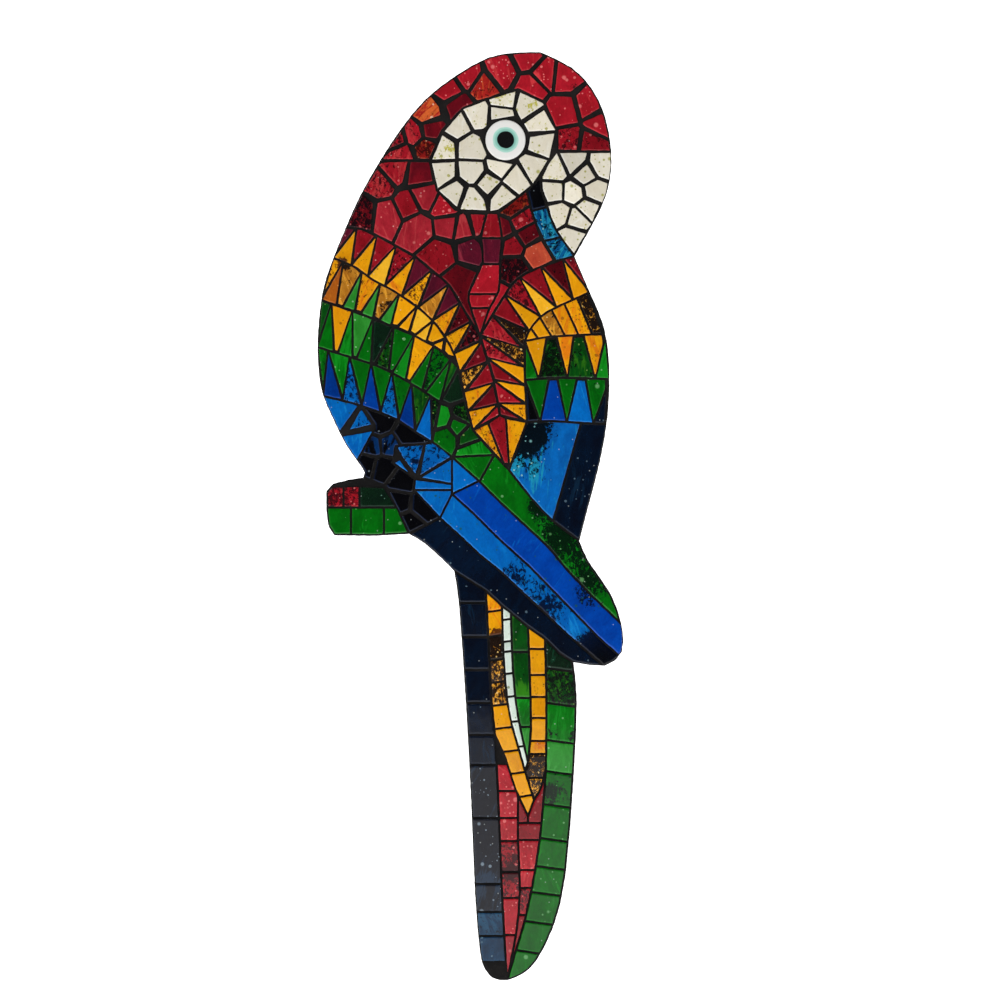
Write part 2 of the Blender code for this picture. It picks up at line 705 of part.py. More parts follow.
def fields():
    """Every tile field of the panel: its name, colour, outline and cells."""
    left_gold, left_red = combs(LEFT_BASE, ring(LEFT_CREST, MIDRIB), 12)
    right_gold, right_red = combs(RIGHT_BASE, ring(RIGHT_CREST, MIDRIB), 9)
    blue_teeth, green_teeth = combs(between(ROW_3, ROW_3[0], (432, 442)), ROW_2, 6)
    wing_gold, wing_green = combs(WING_ROW_1, WING_ROW_2, 3, WING_GOLD_FEET)
    wing_lower_green, wing_blue = combs(WING_ROW_2, WING_ROW_3, 3, WING_GREEN_FEET)
    lapel = between(LEFT_BASE, LEFT_BASE[0], LAPEL)
    return (
        ("crown_red_tiles", RED, crown()),
        ("nape_red_tiles", RED, nape()),
        ("keel_red_tiles", RED, keel()),
        ("throat_red_tiles", DEEP_RED, throat()),
        (EYE_FIELD, CREAM, face()),
        ("upper_beak_cream_tiles", CREAM, upper_beak()),
        ("lower_beak_blue_tiles", BLUE, jaw()),
        ("left_shoulder_gold_teeth", GOLD, left_gold),
        ("left_shoulder_red_teeth", DEEP_RED, left_red),
        ("right_shoulder_gold_teeth", GOLD, right_gold),
        ("right_shoulder_red_teeth", DEEP_RED, right_red),
        ("breast_tip_tiles", GOLD, breast_tip()),
        ("left_wing_gold_row", GOLD, meshed_row(ROW_1, lapel, 8, GOLD_ROW_FEET)),
        ("left_wing_green_row", GREEN, meshed_row(ROW_2, ROW_1, 7, GREEN_ROW_FEET)),
        ("left_wing_green_teeth", GREEN, green_teeth),
        ("left_wing_blue_teeth", BLUE, blue_teeth),
        ("side_green_tiles", GREEN, side_green()),
        ("belly_edge_blue_tiles", BLUE, belly_edge()),
        ("belly_black_tiles", BLACK, belly_black()),
        ("belly_blue_tiles", BLUE, belly_blue()),
        ("right_wing_gold_row", GOLD, right_gold_row()),
        ("right_wing_gold_teeth", GOLD, wing_gold),
        ("right_wing_green_teeth", GREEN, wing_green),
        ("right_wing_lower_green_teeth", GREEN, wing_lower_green),
        ("right_wing_blue_teeth", BLUE, wing_blue),
        ("right_wing_blue_feather", BLUE, right_blue_feather()),
        ("right_wing_navy_feather", NAVY, right_navy_feather()),
        ("long_green_feather", GREEN, green_feather()),
        ("long_royal_blue_feather", BLUE, royal_feather()),
        ("long_sky_blue_feather", SKY, sky_feather()),
        ("long_navy_feather", NAVY, navy_feather()),
        ("perch_red_tiles", RED, perch_red()),
        ("perch_green_tiles", GREEN, perch_green()),
        ("tail_navy_column", NAVY, tail_navy()),
        ("tail_gold_column", GOLD, tail_gold()),
        ("tail_white_column", MINT, tail_white()),
        ("tail_inner_green_column", GREEN, tail_inner_green()),
        ("tail_amber_column", GOLD, tail_amber()),
        ("tail_green_column", GREEN, tail_green()),
        ("tail_left_red_column", RED, tail_red_left()),
        ("tail_right_red_column", RED, tail_red_right()),
    )


# Solids

def glass(name, colour):
    """A glossy painted-glass material."""
    material = bpy.data.materials.new(name)
    material.use_nodes = True
    shader = material.node_tree.nodes["Principled BSDF"]
    shader.inputs["Base Color"].default_value = (*colour, 1.0)
    shader.inputs["Roughness"].default_value = GLASS_ROUGHNESS
    shader.inputs["Metallic"].default_value = 0.0
    material.diffuse_color = (*colour, 1.0)
    return material


def plate(name, loops, back, front, collection):
    """Flat shapes cut from the XZ plane, from depth back to depth front: a filled curve, made a mesh."""
    curve = bpy.data.curves.new("drawn", "CURVE")
    curve.dimensions = "2D"
    curve.fill_mode = "BOTH"
    curve.extrude = (front - back) / 2
    for loop in loops:
        spline = curve.splines.new("POLY")
        spline.points.add(len(loop) - 1)
        spline.use_cyclic_u = True
        for point, (x, y) in zip(spline.points, (loop - GRID_CENTRE) * (UNIT, -UNIT)):
            point.co = (x, y, 0, 1)
    drawn = bpy.data.objects.new("drawn", curve)
    drawn.location = (0, -(front + back) / 2, 0)
    drawn.rotation_euler = (math.pi / 2, 0, 0)
    bpy.context.scene.collection.objects.link(drawn)
    bpy.context.view_layer.update()
    mesh = bpy.data.meshes.new_from_object(drawn.evaluated_get(bpy.context.evaluated_depsgraph_get()))
    welded = bmesh.new()
    welded.from_mesh(mesh)
    bmesh.ops.remove_doubles(welded, verts=welded.verts, dist=WELD)
    welded.to_mesh(mesh)
    welded.free()
    solid = bpy.data.objects.new(name, mesh)
    solid.matrix_world = drawn.matrix_world
    bpy.data.objects.remove(drawn)
    collection.objects.link(solid)
    return solid


def circle(diameter):
    """A loop round the eye's centre."""
    turn = np.linspace(0, 2 * math.pi, EYE_SIDES, endpoint=False)
    return EYE_CENTRE + diameter / 2 / UNIT * np.stack([np.cos(turn), np.sin(turn)], axis=1)


def field(name, colour, loop, cells, parts, cutters):
    """One tile field: a bed of grout with the tiles joined on. A tile is its cell less half a joint."""
    bed_back, bed_front = BOARD_THICKNESS + FIT_GAP, BOARD_THICKNESS + GROUT_DEPTH
    holes = [circle(EYE_DIAMETER + 2 * FIT_GAP)] if name == EYE_FIELD else []
    bed = plate(name, [inset(loop, FIT_GAP / 2 / UNIT), *holes], bed_back, bed_front, parts)
    shapes = [inset(cell, JOINT / 2) for cell in cells]
    shapes = [few_sides(shape) for shape in shapes if shape is not None and area(shape) > SMALLEST_TILE]
    tiles = plate(name + "_tiles", shapes, bed_front - TILE_SEAT, bed_front + TILE_PROUD, cutters)
    tiles.hide_render = True
    tiles.display_type = "WIRE"
    join = bed.modifiers.new("tiles", "BOOLEAN")
    join.operation = "UNION"
    join.object = tiles
    bed.data.materials.append(glass(name, colour))


def eye(parts):
    """The flat glass disc of the eye."""
    front = BOARD_THICKNESS + GROUT_DEPTH + EYE_PROUD
    disc = plate("eye_disc", [circle(EYE_DIAMETER)], BOARD_THICKNESS + FIT_GAP, front, parts)
    disc.data.materials.append(glass("eye_disc", CREAM))


def main():
    for old in list(bpy.data.objects):
        bpy.data.objects.remove(old)
    parts = bpy.data.collections.new(COLLECTION)
    cutters = bpy.data.collections.new("tiles_to_join")
    for collection in (parts, cutters):
        bpy.context.scene.collection.children.link(collection)
    board = plate("backing_board", [outline()], 0.0, BOARD_THICKNESS, parts)
    board.data.materials.append(glass("backing_board", BLACK))
    for name, colour, (loop, cells) in fields():
        field(name, colour, loop, cells, parts, cutters)
    eye(parts)


main()
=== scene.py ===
"""A macaw on a perch stub: a wall panel of cut, painted glass tiles in dark grout on a sawn board.

Each tile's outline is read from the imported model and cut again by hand: some of its corners are
chipped, its sides wander a little, and its rim is rounded over. The paint is worked out by shader
nodes from each tile's own attributes. The panel's back lies on Y = 0 and its tiles face -Y.
"""

import math

import bpy
import numpy as np
from mathutils.geometry import delaunay_2d_cdt
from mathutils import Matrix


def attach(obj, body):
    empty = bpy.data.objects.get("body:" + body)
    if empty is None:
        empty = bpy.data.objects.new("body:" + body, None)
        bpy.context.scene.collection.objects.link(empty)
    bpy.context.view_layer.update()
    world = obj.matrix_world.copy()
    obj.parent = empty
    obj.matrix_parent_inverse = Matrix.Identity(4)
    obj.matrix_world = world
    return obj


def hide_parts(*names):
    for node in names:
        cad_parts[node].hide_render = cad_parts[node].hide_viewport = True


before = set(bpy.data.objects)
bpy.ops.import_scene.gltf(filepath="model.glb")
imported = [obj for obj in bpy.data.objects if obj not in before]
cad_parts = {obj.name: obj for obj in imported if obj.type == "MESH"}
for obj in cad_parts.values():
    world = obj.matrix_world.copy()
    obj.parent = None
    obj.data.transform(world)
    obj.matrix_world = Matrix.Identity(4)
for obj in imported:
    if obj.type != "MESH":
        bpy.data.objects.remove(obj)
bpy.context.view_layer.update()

# The picture's grid: squares of UNIT, with x to the right and y down from its top left corner
UNIT = 0.600 / 930
GRID_CENTRE = np.array((470.0, 517.0))
PICTURE = 1000

# Depths, all along Y, in metres
EYE_FACE = -0.0126
TILE_FACE = -0.0119
GROUT_FACE = -0.0110
TILE_FOOT = -0.0098
BOARD_FACE = -0.0090
GROUT_FOOT = BOARD_FACE + 0.0001
BOARD_BACK = 0.0

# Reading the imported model: how far off its depth a flat face may lie, and how many parts of a metre
# its points are told apart by
DEPTH_SLACK = 2e-5
PARTS = 1e6

# The cutter's hand, in metres
CUT_STEP = 0.0012
LEAST_STEP = 0.3 * CUT_STEP
WAVE_LENGTH = 0.009
WAVINESS = 0.00012
TILE_TILT = 0.006
MOST_TILT_RISE = 0.00012

# Sharp corners: from which turn on a corner is sharp, how firmly it is held when the sides are
# softened, the most of a tile's reach that a chip takes, and the two numbers of the draw of chips
SHARP_TURN = math.radians(28)
CORNER_HOLD = 0.9
CHIP_SHARE = 0.24
CHIP_DRAW = 0.6, 1.6

# Rounded edges: how far each reaches in from the side, and how far it drops, in metres
TILE_EDGE = 0.00042, 0.00024
EYE_EDGE = 0.0011, 0.0007
GROUT_EDGE = 0.0011, 0.0012
BOARD_EDGE = 0.0006, 0.0005

# Steps of the nets of triangles on the fronts, and of the board's outline, in metres
TILE_NET = 0.0032
EYE_NET = 0.003
GROUT_NET = 0.006
BOARD_NET = 0.012
BOARD_STEP = 0.0016

# The eye: its middle on the picture's grid, its radius in metres and the sides of its outline
EYE_MIDDLE = 505.5, 140.0
EYE_RADIUS = 0.0129
EYE_SIDES = 96

# A painted highlight along each tile's edge on this side stands in for light that has gone through the
# tile, and fades within this reach
LIT_SIDE = np.array((-0.64, -0.77))
EDGE_HIGHLIGHT_REACH = 0.0011

# How much a tile's grain is turned from upright, in radians: the spread of the draw
GRAIN_TURN = 0.35

# Edges of a piece that bend by more than this are drawn sharp
SHARP_EDGE = math.radians(50)


def on_panel(points):
    """X and Z of points on the picture's grid."""
    return (np.asarray(points, float) - GRID_CENTRE) * (UNIT, -UNIT)


def on_grid(places):
    """The picture's grid coordinates of points in X and Z: the inverse of on_panel."""
    return np.asarray(places) / (UNIT, -UNIT) + GRID_CENTRE


# Outlines

def cross(a, b):
    """The turn from a to b, for rows of directions."""
    return a[..., 0] * b[..., 1] - a[..., 1] * b[..., 0]


def area(loop):
    """Half the sum of the turns from each corner to the next: above zero where it runs anticlockwise."""
    return 0.5 * cross(loop, np.roll(loop, -1, axis=0)).sum()


def flat_outlines(name, depth):
    """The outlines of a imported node's faces that lie flat at one depth, in X and Z, anticlockwise.

    A side that only one of those faces has lies on an outline, and the sides are chained end to end.
    """
    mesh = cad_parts[name].data
    points = np.empty(3 * len(mesh.vertices))
    mesh.vertices.foreach_get("co", points)
    points = points.reshape(-1, 3)
    corners = np.empty(len(mesh.loops), int)
    mesh.loops.foreach_get("vertex_index", corners)
    faces = corners.reshape(-1, 3)
    flat = (np.abs(points[faces][:, :, 1] - depth) < DEPTH_SLACK).all(1)
    spots, number = np.unique(np.round(points[:, [0, 2]] * PARTS), axis=0, return_inverse=True)
    faces = number.reshape(-1)[faces[flat]]
    sides = np.vstack([faces[:, [0, 1]], faces[:, [1, 2]], faces[:, [2, 0]]])
    sides = sides[sides[:, 0] != sides[:, 1]]
    code, mirrored = sides @ (len(spots), 1), sides @ (1, len(spots))
    following = dict(sides[~np.isin(code, mirrored)])
    outlines = []
    while following:
        start, at = following.popitem()
        chain = [start]
        while at != start:
            chain.append(at)
            at = following.pop(at)
        loop = spots[chain] / PARTS
        outlines.append(loop if area(loop) > 0 else loop[::-1])
    return outlines


def stepped(loop, step):
    """Points at about even steps along the loop, and the places of its corners among them."""
    sides = np.roll(loop, -1, axis=0) - loop
    counts = np.maximum(1, np.round(np.hypot(*sides.T) / step).astype(int))
    owner = np.repeat(np.arange(len(loop)), counts)
    first = np.cumsum(counts) - counts
    share = (np.arange(counts.sum()) - first[owner]) / counts[owner]
    return loop[owner] + sides[owner] * share[:, None], first


def sharp(loop):
    """Which corners of the loop turn by more than SHARP_TURN."""
    sides = np.roll(loop, -1, axis=0) - loop
    before = np.roll(sides, 1, axis=0)
    return np.abs(np.arctan2(cross(before, sides), (before * sides).sum(1))) > SHARP_TURN


def chipped(loop, chance, most):
    """The loop with its sharp corners drawn toward its middle, each by its own part of the most.

    Few corners move far, so narrow joints widen at some of their ends, as between broken shards.
    """
    inward = loop.mean(0) - loop
    reach = np.hypot(*inward.T)
    draw = np.minimum(most * chance.beta(*CHIP_DRAW, len(loop)), CHIP_SHARE * reach) * sharp(loop)
    return loop + (draw / reach)[:, None] * inward


def kept_in(loop, outline, rim):
    """The loop with each point that is nearer than the rim to the board's outline moved in to it.

    Points that land close to the one before them are left out.
    """
    points = stepped(loop, CUT_STEP)[0]
    depth, way_out = beside(points, outline)
    points = points - way_out * np.clip(rim - depth, 0, None)[:, None]
    return points[np.hypot(*(points - np.roll(points, 1, axis=0)).T) > LEAST_STEP]


def hand_cut(loop, chance, waviness=WAVINESS, step=CUT_STEP):
    """The loop as a hand cuts it, at even steps.

    Each point moves half way to the middle of its neighbours, and sharp corners move less. Then
    each point moves along its normal by the mean of three sine waves round the loop.
    """
    points, first = stepped(loop, step)
    give = np.ones(len(points))
    give[first] = np.where(sharp(loop), 1 - CORNER_HOLD, 1.0)
    middle = (np.roll(points, 1, axis=0) + np.roll(points, -1, axis=0)) / 2
    points = points + 0.5 * give[:, None] * (middle - points)
    run = np.hypot(*(points - np.roll(points, 1, axis=0)).T)
    share = np.cumsum(run) / run.sum()
    turns = np.maximum(1, np.round(run.sum() / WAVE_LENGTH * chance.uniform(0.6, 1.7, 3)))
    waves = np.sin(2 * math.pi * (share[:, None] * turns + chance.uniform(0, 1, 3))).mean(1)
    return points + waviness * waves[:, None] * outward(points)


def beside(points, loop):
    """How deep each point lies inside the loop, and the way from it to the nearest side.

    The depth is the distance to the nearest side, below zero outside. A point is inside where a
    level line from it crosses an odd number of sides.
    """
    end = np.roll(loop, -1, axis=0)
    way = end - loop
    rel = points[:, None] - loop
    part = np.clip((rel * way).sum(2) / (way**2).sum(1), 0, 1)
    toward = part[..., None] * way - rel
    off = np.hypot(*np.moveaxis(toward, 2, 0))
    best = off.argmin(1)
    row = np.arange(len(points))
    rises = (loop[:, 1] > points[:, None, 1]) != (end[:, 1] > points[:, None, 1])
    with np.errstate(divide="ignore", invalid="ignore"):
        meet = loop[:, 0] + (points[:, None, 1] - loop[:, 1]) / way[:, 1] * way[:, 0]
    inside = (rises & (points[:, None, 0] < meet)).sum(1) % 2 == 1
    off = off[row, best]
    return np.where(inside, off, -off), toward[row, best] / np.maximum(off, 1e-9)[:, None]


def depth_inside(points, loop):
    """How deep each point lies inside the loop, below zero outside."""
    return beside(points, loop)[0]


def outward(loop):
    """The way out at each point of an anticlockwise loop: square to the line between its neighbours."""
    along = np.roll(loop, -1, axis=0) - np.roll(loop, 1, axis=0)
    return np.stack([along[:, 1], -along[:, 0]], axis=1) / np.hypot(*along.T)[:, None]


def circle(middle, radius, sides):
    """Even points round a circle, anticlockwise."""
    turn = np.linspace(0, 2 * math.pi, sides, endpoint=False)
    return middle + radius * np.stack([np.cos(turn), np.sin(turn)], 1)


def honeycomb(loop, step):
    """Points in rows over the loop's box, each row half a step along from the last."""
    low, high = loop.min(0), loop.max(0)
    rise = step * math.sqrt(3) / 2
    across = np.arange(low[0], high[0] + step, step)
    up = np.arange(low[1], high[1] + rise, rise)
    shift = step / 2 * (np.arange(len(up)) % 2)
    heights = np.repeat(up[:, None], len(across), 1)
    return np.stack([across[None] + shift[:, None], heights], 2).reshape(-1, 2)


# Meshes

class Shell:
    """Points, faces, glass and point attributes of one piece, gathered from many closed shells."""

    def __init__(self):
        self.points, self.faces, self.glass, self.values, self.count = [], [], [], {}, 0

    def add(self, points, faces, glass=0, **values):
        """Add a shell of one glass. Each value has one row for each of its points."""
        self.points.append(points)
        self.faces += [tuple(map(int, face + self.count)) for face in faces]
        self.glass += [glass] * len(faces)
        for name, rows in values.items():
            self.values.setdefault(name, []).append(rows)
        self.count += len(points)

    def piece(self, name, materials, slot, *nodes):
        """The shells as one smooth-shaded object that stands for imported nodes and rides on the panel."""
        mesh = bpy.data.meshes.new(name)
        mesh.from_pydata(np.vstack(self.points).tolist(), [], self.faces)
        for label, rows in self.values.items():
            attribute = mesh.attributes.new(label, "FLOAT_VECTOR", "POINT")
            attribute.data.foreach_set("vector", np.vstack(rows).astype(np.float32).ravel())
        for material in materials:
            mesh.materials.append(material)
        mesh.polygons.foreach_set("material_index", self.glass)
        mesh.polygons.foreach_set("use_smooth", np.ones(len(mesh.polygons), bool))
        mesh.set_sharp_from_angle(angle=SHARP_EDGE)
        piece = bpy.data.objects.new(name, mesh)
        bpy.context.scene.collection.objects.link(piece)
        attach(piece, "root")
        if nodes:
            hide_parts(*nodes)


def net(points, loop_sides):
    """Anticlockwise triangles between points, inside the loop whose sides are pairs of them.

    They are found in millimetres. It gives None where the loop crosses itself.
    """
    inside_only, slack = 1, 1e-6
    found = delaunay_2d_cdt((points * 1e3).tolist(), loop_sides, [], inside_only, slack)
    if len(found[0]) != len(points):
        return None
    triangles = np.array(found[2])
    first, second, third = (points[triangles[:, corner]] for corner in range(3))
    turned = cross(second - first, third - first) < 0
    triangles[turned] = triangles[turned][:, ::-1]
    return triangles


def slab(loop, inner, crown, foot):
    """A flat shell with a rounded rim: a front, a wall round the loop and a back at the foot's depth.

    The front is a triangle net over the loop and the inner points. Its depth is crown(point, depth
    inside the loop). It gives None where the loop crosses itself.
    """
    inside = depth_inside(inner, loop)
    keep = inside > 0
    flat = np.vstack([loop, inner[keep]])
    depth = np.concatenate([np.zeros(len(loop)), inside[keep]])
    count = len(loop)
    ring = np.arange(count)
    ahead = np.roll(ring, -1)
    triangles = net(flat, np.stack([ring, ahead], 1).tolist())
    if triangles is None:
        return None
    front = np.stack([flat[:, 0], crown(flat, depth), flat[:, 1]], 1)
    back = np.stack([loop[:, 0], np.full(count, foot), loop[:, 1]], 1)
    below = len(flat) + ring
    walls = np.stack([ring, below, np.roll(below, -1), ahead], 1)
    return np.vstack([front, back]), [*triangles, *walls, below[::-1]]


def rim_rows(loop, *insets):
    """Rows of points that follow the loop inside it, one row for each inset.

    Points that come much nearer to another side are left out.
    """
    rows = []
    for inset in insets:
        row = loop - inset * outward(loop)
        rows.append(row[depth_inside(row, loop) > 0.6 * inset])
    return rows


def rounded(depth, reach, drop):
    """How far a rounded edge falls at each depth inside it: a quarter of an ellipse, then level."""
    short = np.clip(1 - depth / reach, 0, 1)
    return drop * (1 - np.sqrt(1 - short**2))


def inner_points(loop, reach, step, *insets):
    """Three rows over the rounded edge, any further rows, and a honeycomb over the rest."""
    rows = rim_rows(loop, 0.15 * reach, 0.5 * reach, reach, *insets)
    field = honeycomb(loop, step)
    field = field[depth_inside(field, loop) > max((reach, *insets)) + 0.35 * step]
    return np.vstack([*rows, field])


def lay_tile(shell, loop, packed, chance, glass, look):
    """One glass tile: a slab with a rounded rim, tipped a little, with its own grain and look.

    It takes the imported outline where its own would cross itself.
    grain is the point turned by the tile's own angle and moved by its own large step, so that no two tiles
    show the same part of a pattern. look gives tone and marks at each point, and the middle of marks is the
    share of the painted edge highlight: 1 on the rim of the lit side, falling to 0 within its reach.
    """
    middle = loop.mean(0)
    size = np.hypot(*(loop - middle).T).max()
    tilt = chance.normal(0, 1, 2) * min(TILE_TILT, MOST_TILT_RISE / size)

    def crown(flat, depth):
        return TILE_FACE + rounded(depth, *TILE_EDGE) + (flat - middle) @ tilt

    def cut_slab(cut):
        return slab(cut, inner_points(cut, TILE_EDGE[0], TILE_NET, EDGE_HIGHLIGHT_REACH), crown, TILE_FOOT)

    cuts = hand_cut(loop, chance), hand_cut(packed, chance, 0.0), packed
    edge, (points, faces) = next((cut, made) for cut in cuts if (made := cut_slab(cut)))
    turn = chance.normal(0, GRAIN_TURN) + chance.integers(0, 2) * math.pi
    spin = np.array([(math.cos(turn), -math.sin(turn)), (math.sin(turn), math.cos(turn))])
    flat = points[:, [0, 2]]
    grain = np.column_stack([flat @ spin, points[:, 1]]) + chance.uniform(-1, 1, 3)
    depth, way_out = beside(flat, edge)
    way_out[: len(edge)] = outward(edge)
    tone, marks = look(flat, chance)
    # Painted highlight: the rim on the lit side gets a share that makes its colour paler
    marks[:, 1] = np.clip(1 - np.abs(depth) / EDGE_HIGHLIGHT_REACH, 0, 1) * np.clip(way_out @ LIT_SIDE, 0, 1)
    shell.add(points, faces, glass, grain=grain, tone=tone, marks=marks)


def plate(name, loop, face, edge, step, foot, material, slot, *nodes):
    """A piece that is one slab with a level front and a rounded edge."""
    shell = Shell()
    crown = lambda flat, depth: face + rounded(depth, *edge)
    shell.add(*slab(loop, inner_points(loop, edge[0], step), crown, foot))
    shell.piece(name, [material], slot, *nodes)


# The studio

# Each light's place, width, height and power. They all point at the panel's middle
LIGHTS = {
    "key": ((-1.5, -1.6, 1.4), 0.9, 0.9, 20),
    "fill": ((1.8, -1.5, 0.2), 0.8, 1.4, 9),
    "top": ((0.3, -0.5, 2.0), 1.2, 0.6, 6),
    "back": ((-1.4, 1.6, 1.2), 1.2, 1.2, 10),
}


def soft_light(name, place, width, height, power):
    """A rectangular studio light at a place, turned to the panel's middle."""
    light = bpy.data.lights.new(name, "AREA")
    light.shape = "RECTANGLE"
    light.size, light.size_y, light.energy = width, height, power
    lamp = bpy.data.objects.new(name, light)
    lamp.location = place
    x, y, z = np.negative(place)
    lamp.rotation_euler = (math.pi / 2 + math.atan2(z, math.hypot(x, y)), 0, math.atan2(-x, y))
    bpy.context.scene.collection.objects.link(lamp)


def camera():
    """A long lens straight in front of the picture's middle, at the distance that shows all of it."""
    lens, sensor = 85.0, 36.0
    view = bpy.data.cameras.new("camera")
    view.lens, view.sensor_width = lens, sensor
    stand = bpy.data.objects.new("camera", view)
    x, z = on_panel((PICTURE / 2, PICTURE / 2))
    stand.location = (x, TILE_FACE - PICTURE * UNIT * lens / sensor, z)
    stand.rotation_euler = (math.pi / 2, 0, 0)
    bpy.context.scene.collection.objects.link(stand)
    bpy.context.scene.camera = stand


def sky():
    """A world that is pale where the camera sees it and dim as a light."""
    as_light, as_seen = 0.05, 0.90
    world = bpy.data.worlds.new("studio")
    world.use_nodes = True
    nodes, links = world.node_tree.nodes, world.node_tree.links
    background = nodes["Background"]
    background.inputs["Color"].default_value = (0.95, 0.97, 1.0, 1)
    strength = nodes.new("ShaderNodeMapRange")
    strength.inputs["To Min"].default_value, strength.inputs["To Max"].default_value = as_light, as_seen
    path = nodes.new("ShaderNodeLightPath")
    links.new(path.outputs["Is Camera Ray"], strength.inputs["Value"])
    links.new(strength.outputs["Result"], background.inputs["Strength"])
    bpy.context.scene.world = world
    bpy.context.scene.view_settings.view_transform = "Standard"


def backdrop():
    """One pale sheet for floor and backdrop.

    Its section is a level line, a quarter circle and an upright line, carried along X.
    """
    floor, wall, bend, half, top = -0.5, 2.6, 0.6, 4.0, 4.0
    turn = np.linspace(0, math.pi / 2, 17)
    section = np.vstack([
        [(-half, floor)],
        np.stack([wall - bend + bend * np.sin(turn), floor + bend - bend * np.cos(turn)], 1),
        [(wall, top)],
    ])
    count = len(section)
    sheet = np.vstack([np.column_stack([np.full(count, side), section]) for side in (half, -half)])
    row = np.arange(count - 1)
    faces = np.stack([row, row + 1, row + count + 1, row + count], 1)
    mesh = bpy.data.meshes.new("paper_sweep")
    mesh.from_pydata(sheet.tolist(), [], faces.tolist())
    mesh.polygons.foreach_set("use_smooth", np.ones(len(faces), bool))
    paper = bpy.data.materials.new("pale_paper")
    paper.use_nodes = True
    shader = paper.node_tree.nodes["Principled BSDF"]
    shader.inputs["Base Color"].default_value = (0.9, 0.9, 0.9, 1)
    shader.inputs["Roughness"].default_value = 0.95
    shader.inputs["Emission Color"].default_value = (1, 1, 1, 1)
    shader.inputs["Emission Strength"].default_value = 1.0
    mesh.materials.append(paper)
    sweep = bpy.data.objects.new("paper_sweep", mesh)
    bpy.context.scene.collection.objects.link(sweep)


def studio():
    """The camera, the lights, the world and the backdrop."""
    camera()
    for name, settings in LIGHTS.items():
        soft_light(name, *settings)
    sky()
    backdrop()


# Materials

# Noise patterns of the painted glass: cells to a metre, detail, roughness, stretch and warp
WANDER = 110.0, 4.0, 0.55, (1, 0.5, 1), 0.8
STREAKS = 230.0, 5.0, 0.62, (1, 0.18, 1), 1.0
SPONGE = 400.0, 7.0, 0.76, (1, 0.75, 1), 0.5
MOTTLE = 750.0, 5.0, 0.7, (1, 0.6, 1)
RIPPLE = 45.0, 2.0, 0.5
PITS = 900.0, 2.0, 0.5

# Specks: a cell's size in metres, the most of it that a speck reaches, and how soft the speck's edge is
SPECKS = (0.0085, 0.22, 0.12), (0.0052, 0.24, 0.07), (0.0027, 0.26, 0.06)


class Nodes:
    """A material's node tree, with short calls for the nodes that this panel uses."""

    def __init__(self, name):
        self.material = bpy.data.materials.new(name)
        self.material.use_nodes = True
        self.tree = self.material.node_tree
        self.shader = self.tree.nodes["Principled BSDF"]

    def fill(self, node, sockets):
        """Link or set sockets, each given by its name with underscores, or by its number after an i."""
        for key, value in sockets.items():
            numbered = key[0] == "i" and key[1:].isdigit()
            socket = node.inputs[int(key[1:]) if numbered else key.replace("_", " ")]
            if isinstance(value, bpy.types.NodeSocket):
                self.tree.links.new(value, socket)
            else:
                socket.default_value = value

    def put(self, kind, settings=None, **sockets):
        """The outputs of a new node of this kind."""
        made = self.tree.nodes.new("ShaderNode" + kind)
        for key, value in (settings or {}).items():
            setattr(made, key, value)
        self.fill(made, sockets)
        return made.outputs

    def finish(self, **sockets):
        """Fill the shader's own sockets, and give the material."""
        self.fill(self.shader, sockets)
        return self.material

    def maths(self, operation, a, b=0.0):
        """One sum of two values."""
        return self.put("Math", {"operation": operation}, i0=a, i1=b)[0]

    def step(self, value, low, high):
        """0 at low and 1 at high, with a smooth way between."""
        smooth = {"interpolation_type": "SMOOTHSTEP"}
        return self.put("MapRange", smooth, Value=value, From_Min=low, From_Max=high)[0]

    def noise(self, at, scale, detail=4.0, roughness=0.55, stretch=(1, 1, 1), warp=0.0):
        """Fractal noise on a coordinate, which can be stretched."""
        if stretch != (1, 1, 1):
            at = self.put("VectorMath", {"operation": "MULTIPLY"}, i0=at, i1=stretch)[0]
        form = {"Scale": scale, "Detail": detail, "Roughness": roughness, "Distortion": warp}
        return self.put("TexNoise", Vector=at, **form)[0]

    def mix(self, share, below, above):
        """below where the share is 0, and above where it is 1."""
        whole = lambda side: side if isinstance(side, bpy.types.NodeSocket) else (*side, 1.0)
        return self.put("Mix", {"data_type": "RGBA"}, i0=share, i6=whole(below), i7=whole(above))[2]

    def covered(self, pattern, amount, swing, soft):
        """The share of a layer: it covers more of the pattern's high parts the larger its amount is.

        Its edge lies at 0.78 less swing times the amount, and is soft by so much on either side.
        """
        edge = self.maths("SUBTRACT", 0.78, self.maths("MULTIPLY", amount, swing))
        return self.step(pattern, self.maths("SUBTRACT", edge, soft[0]), self.maths("ADD", edge, soft[1]))


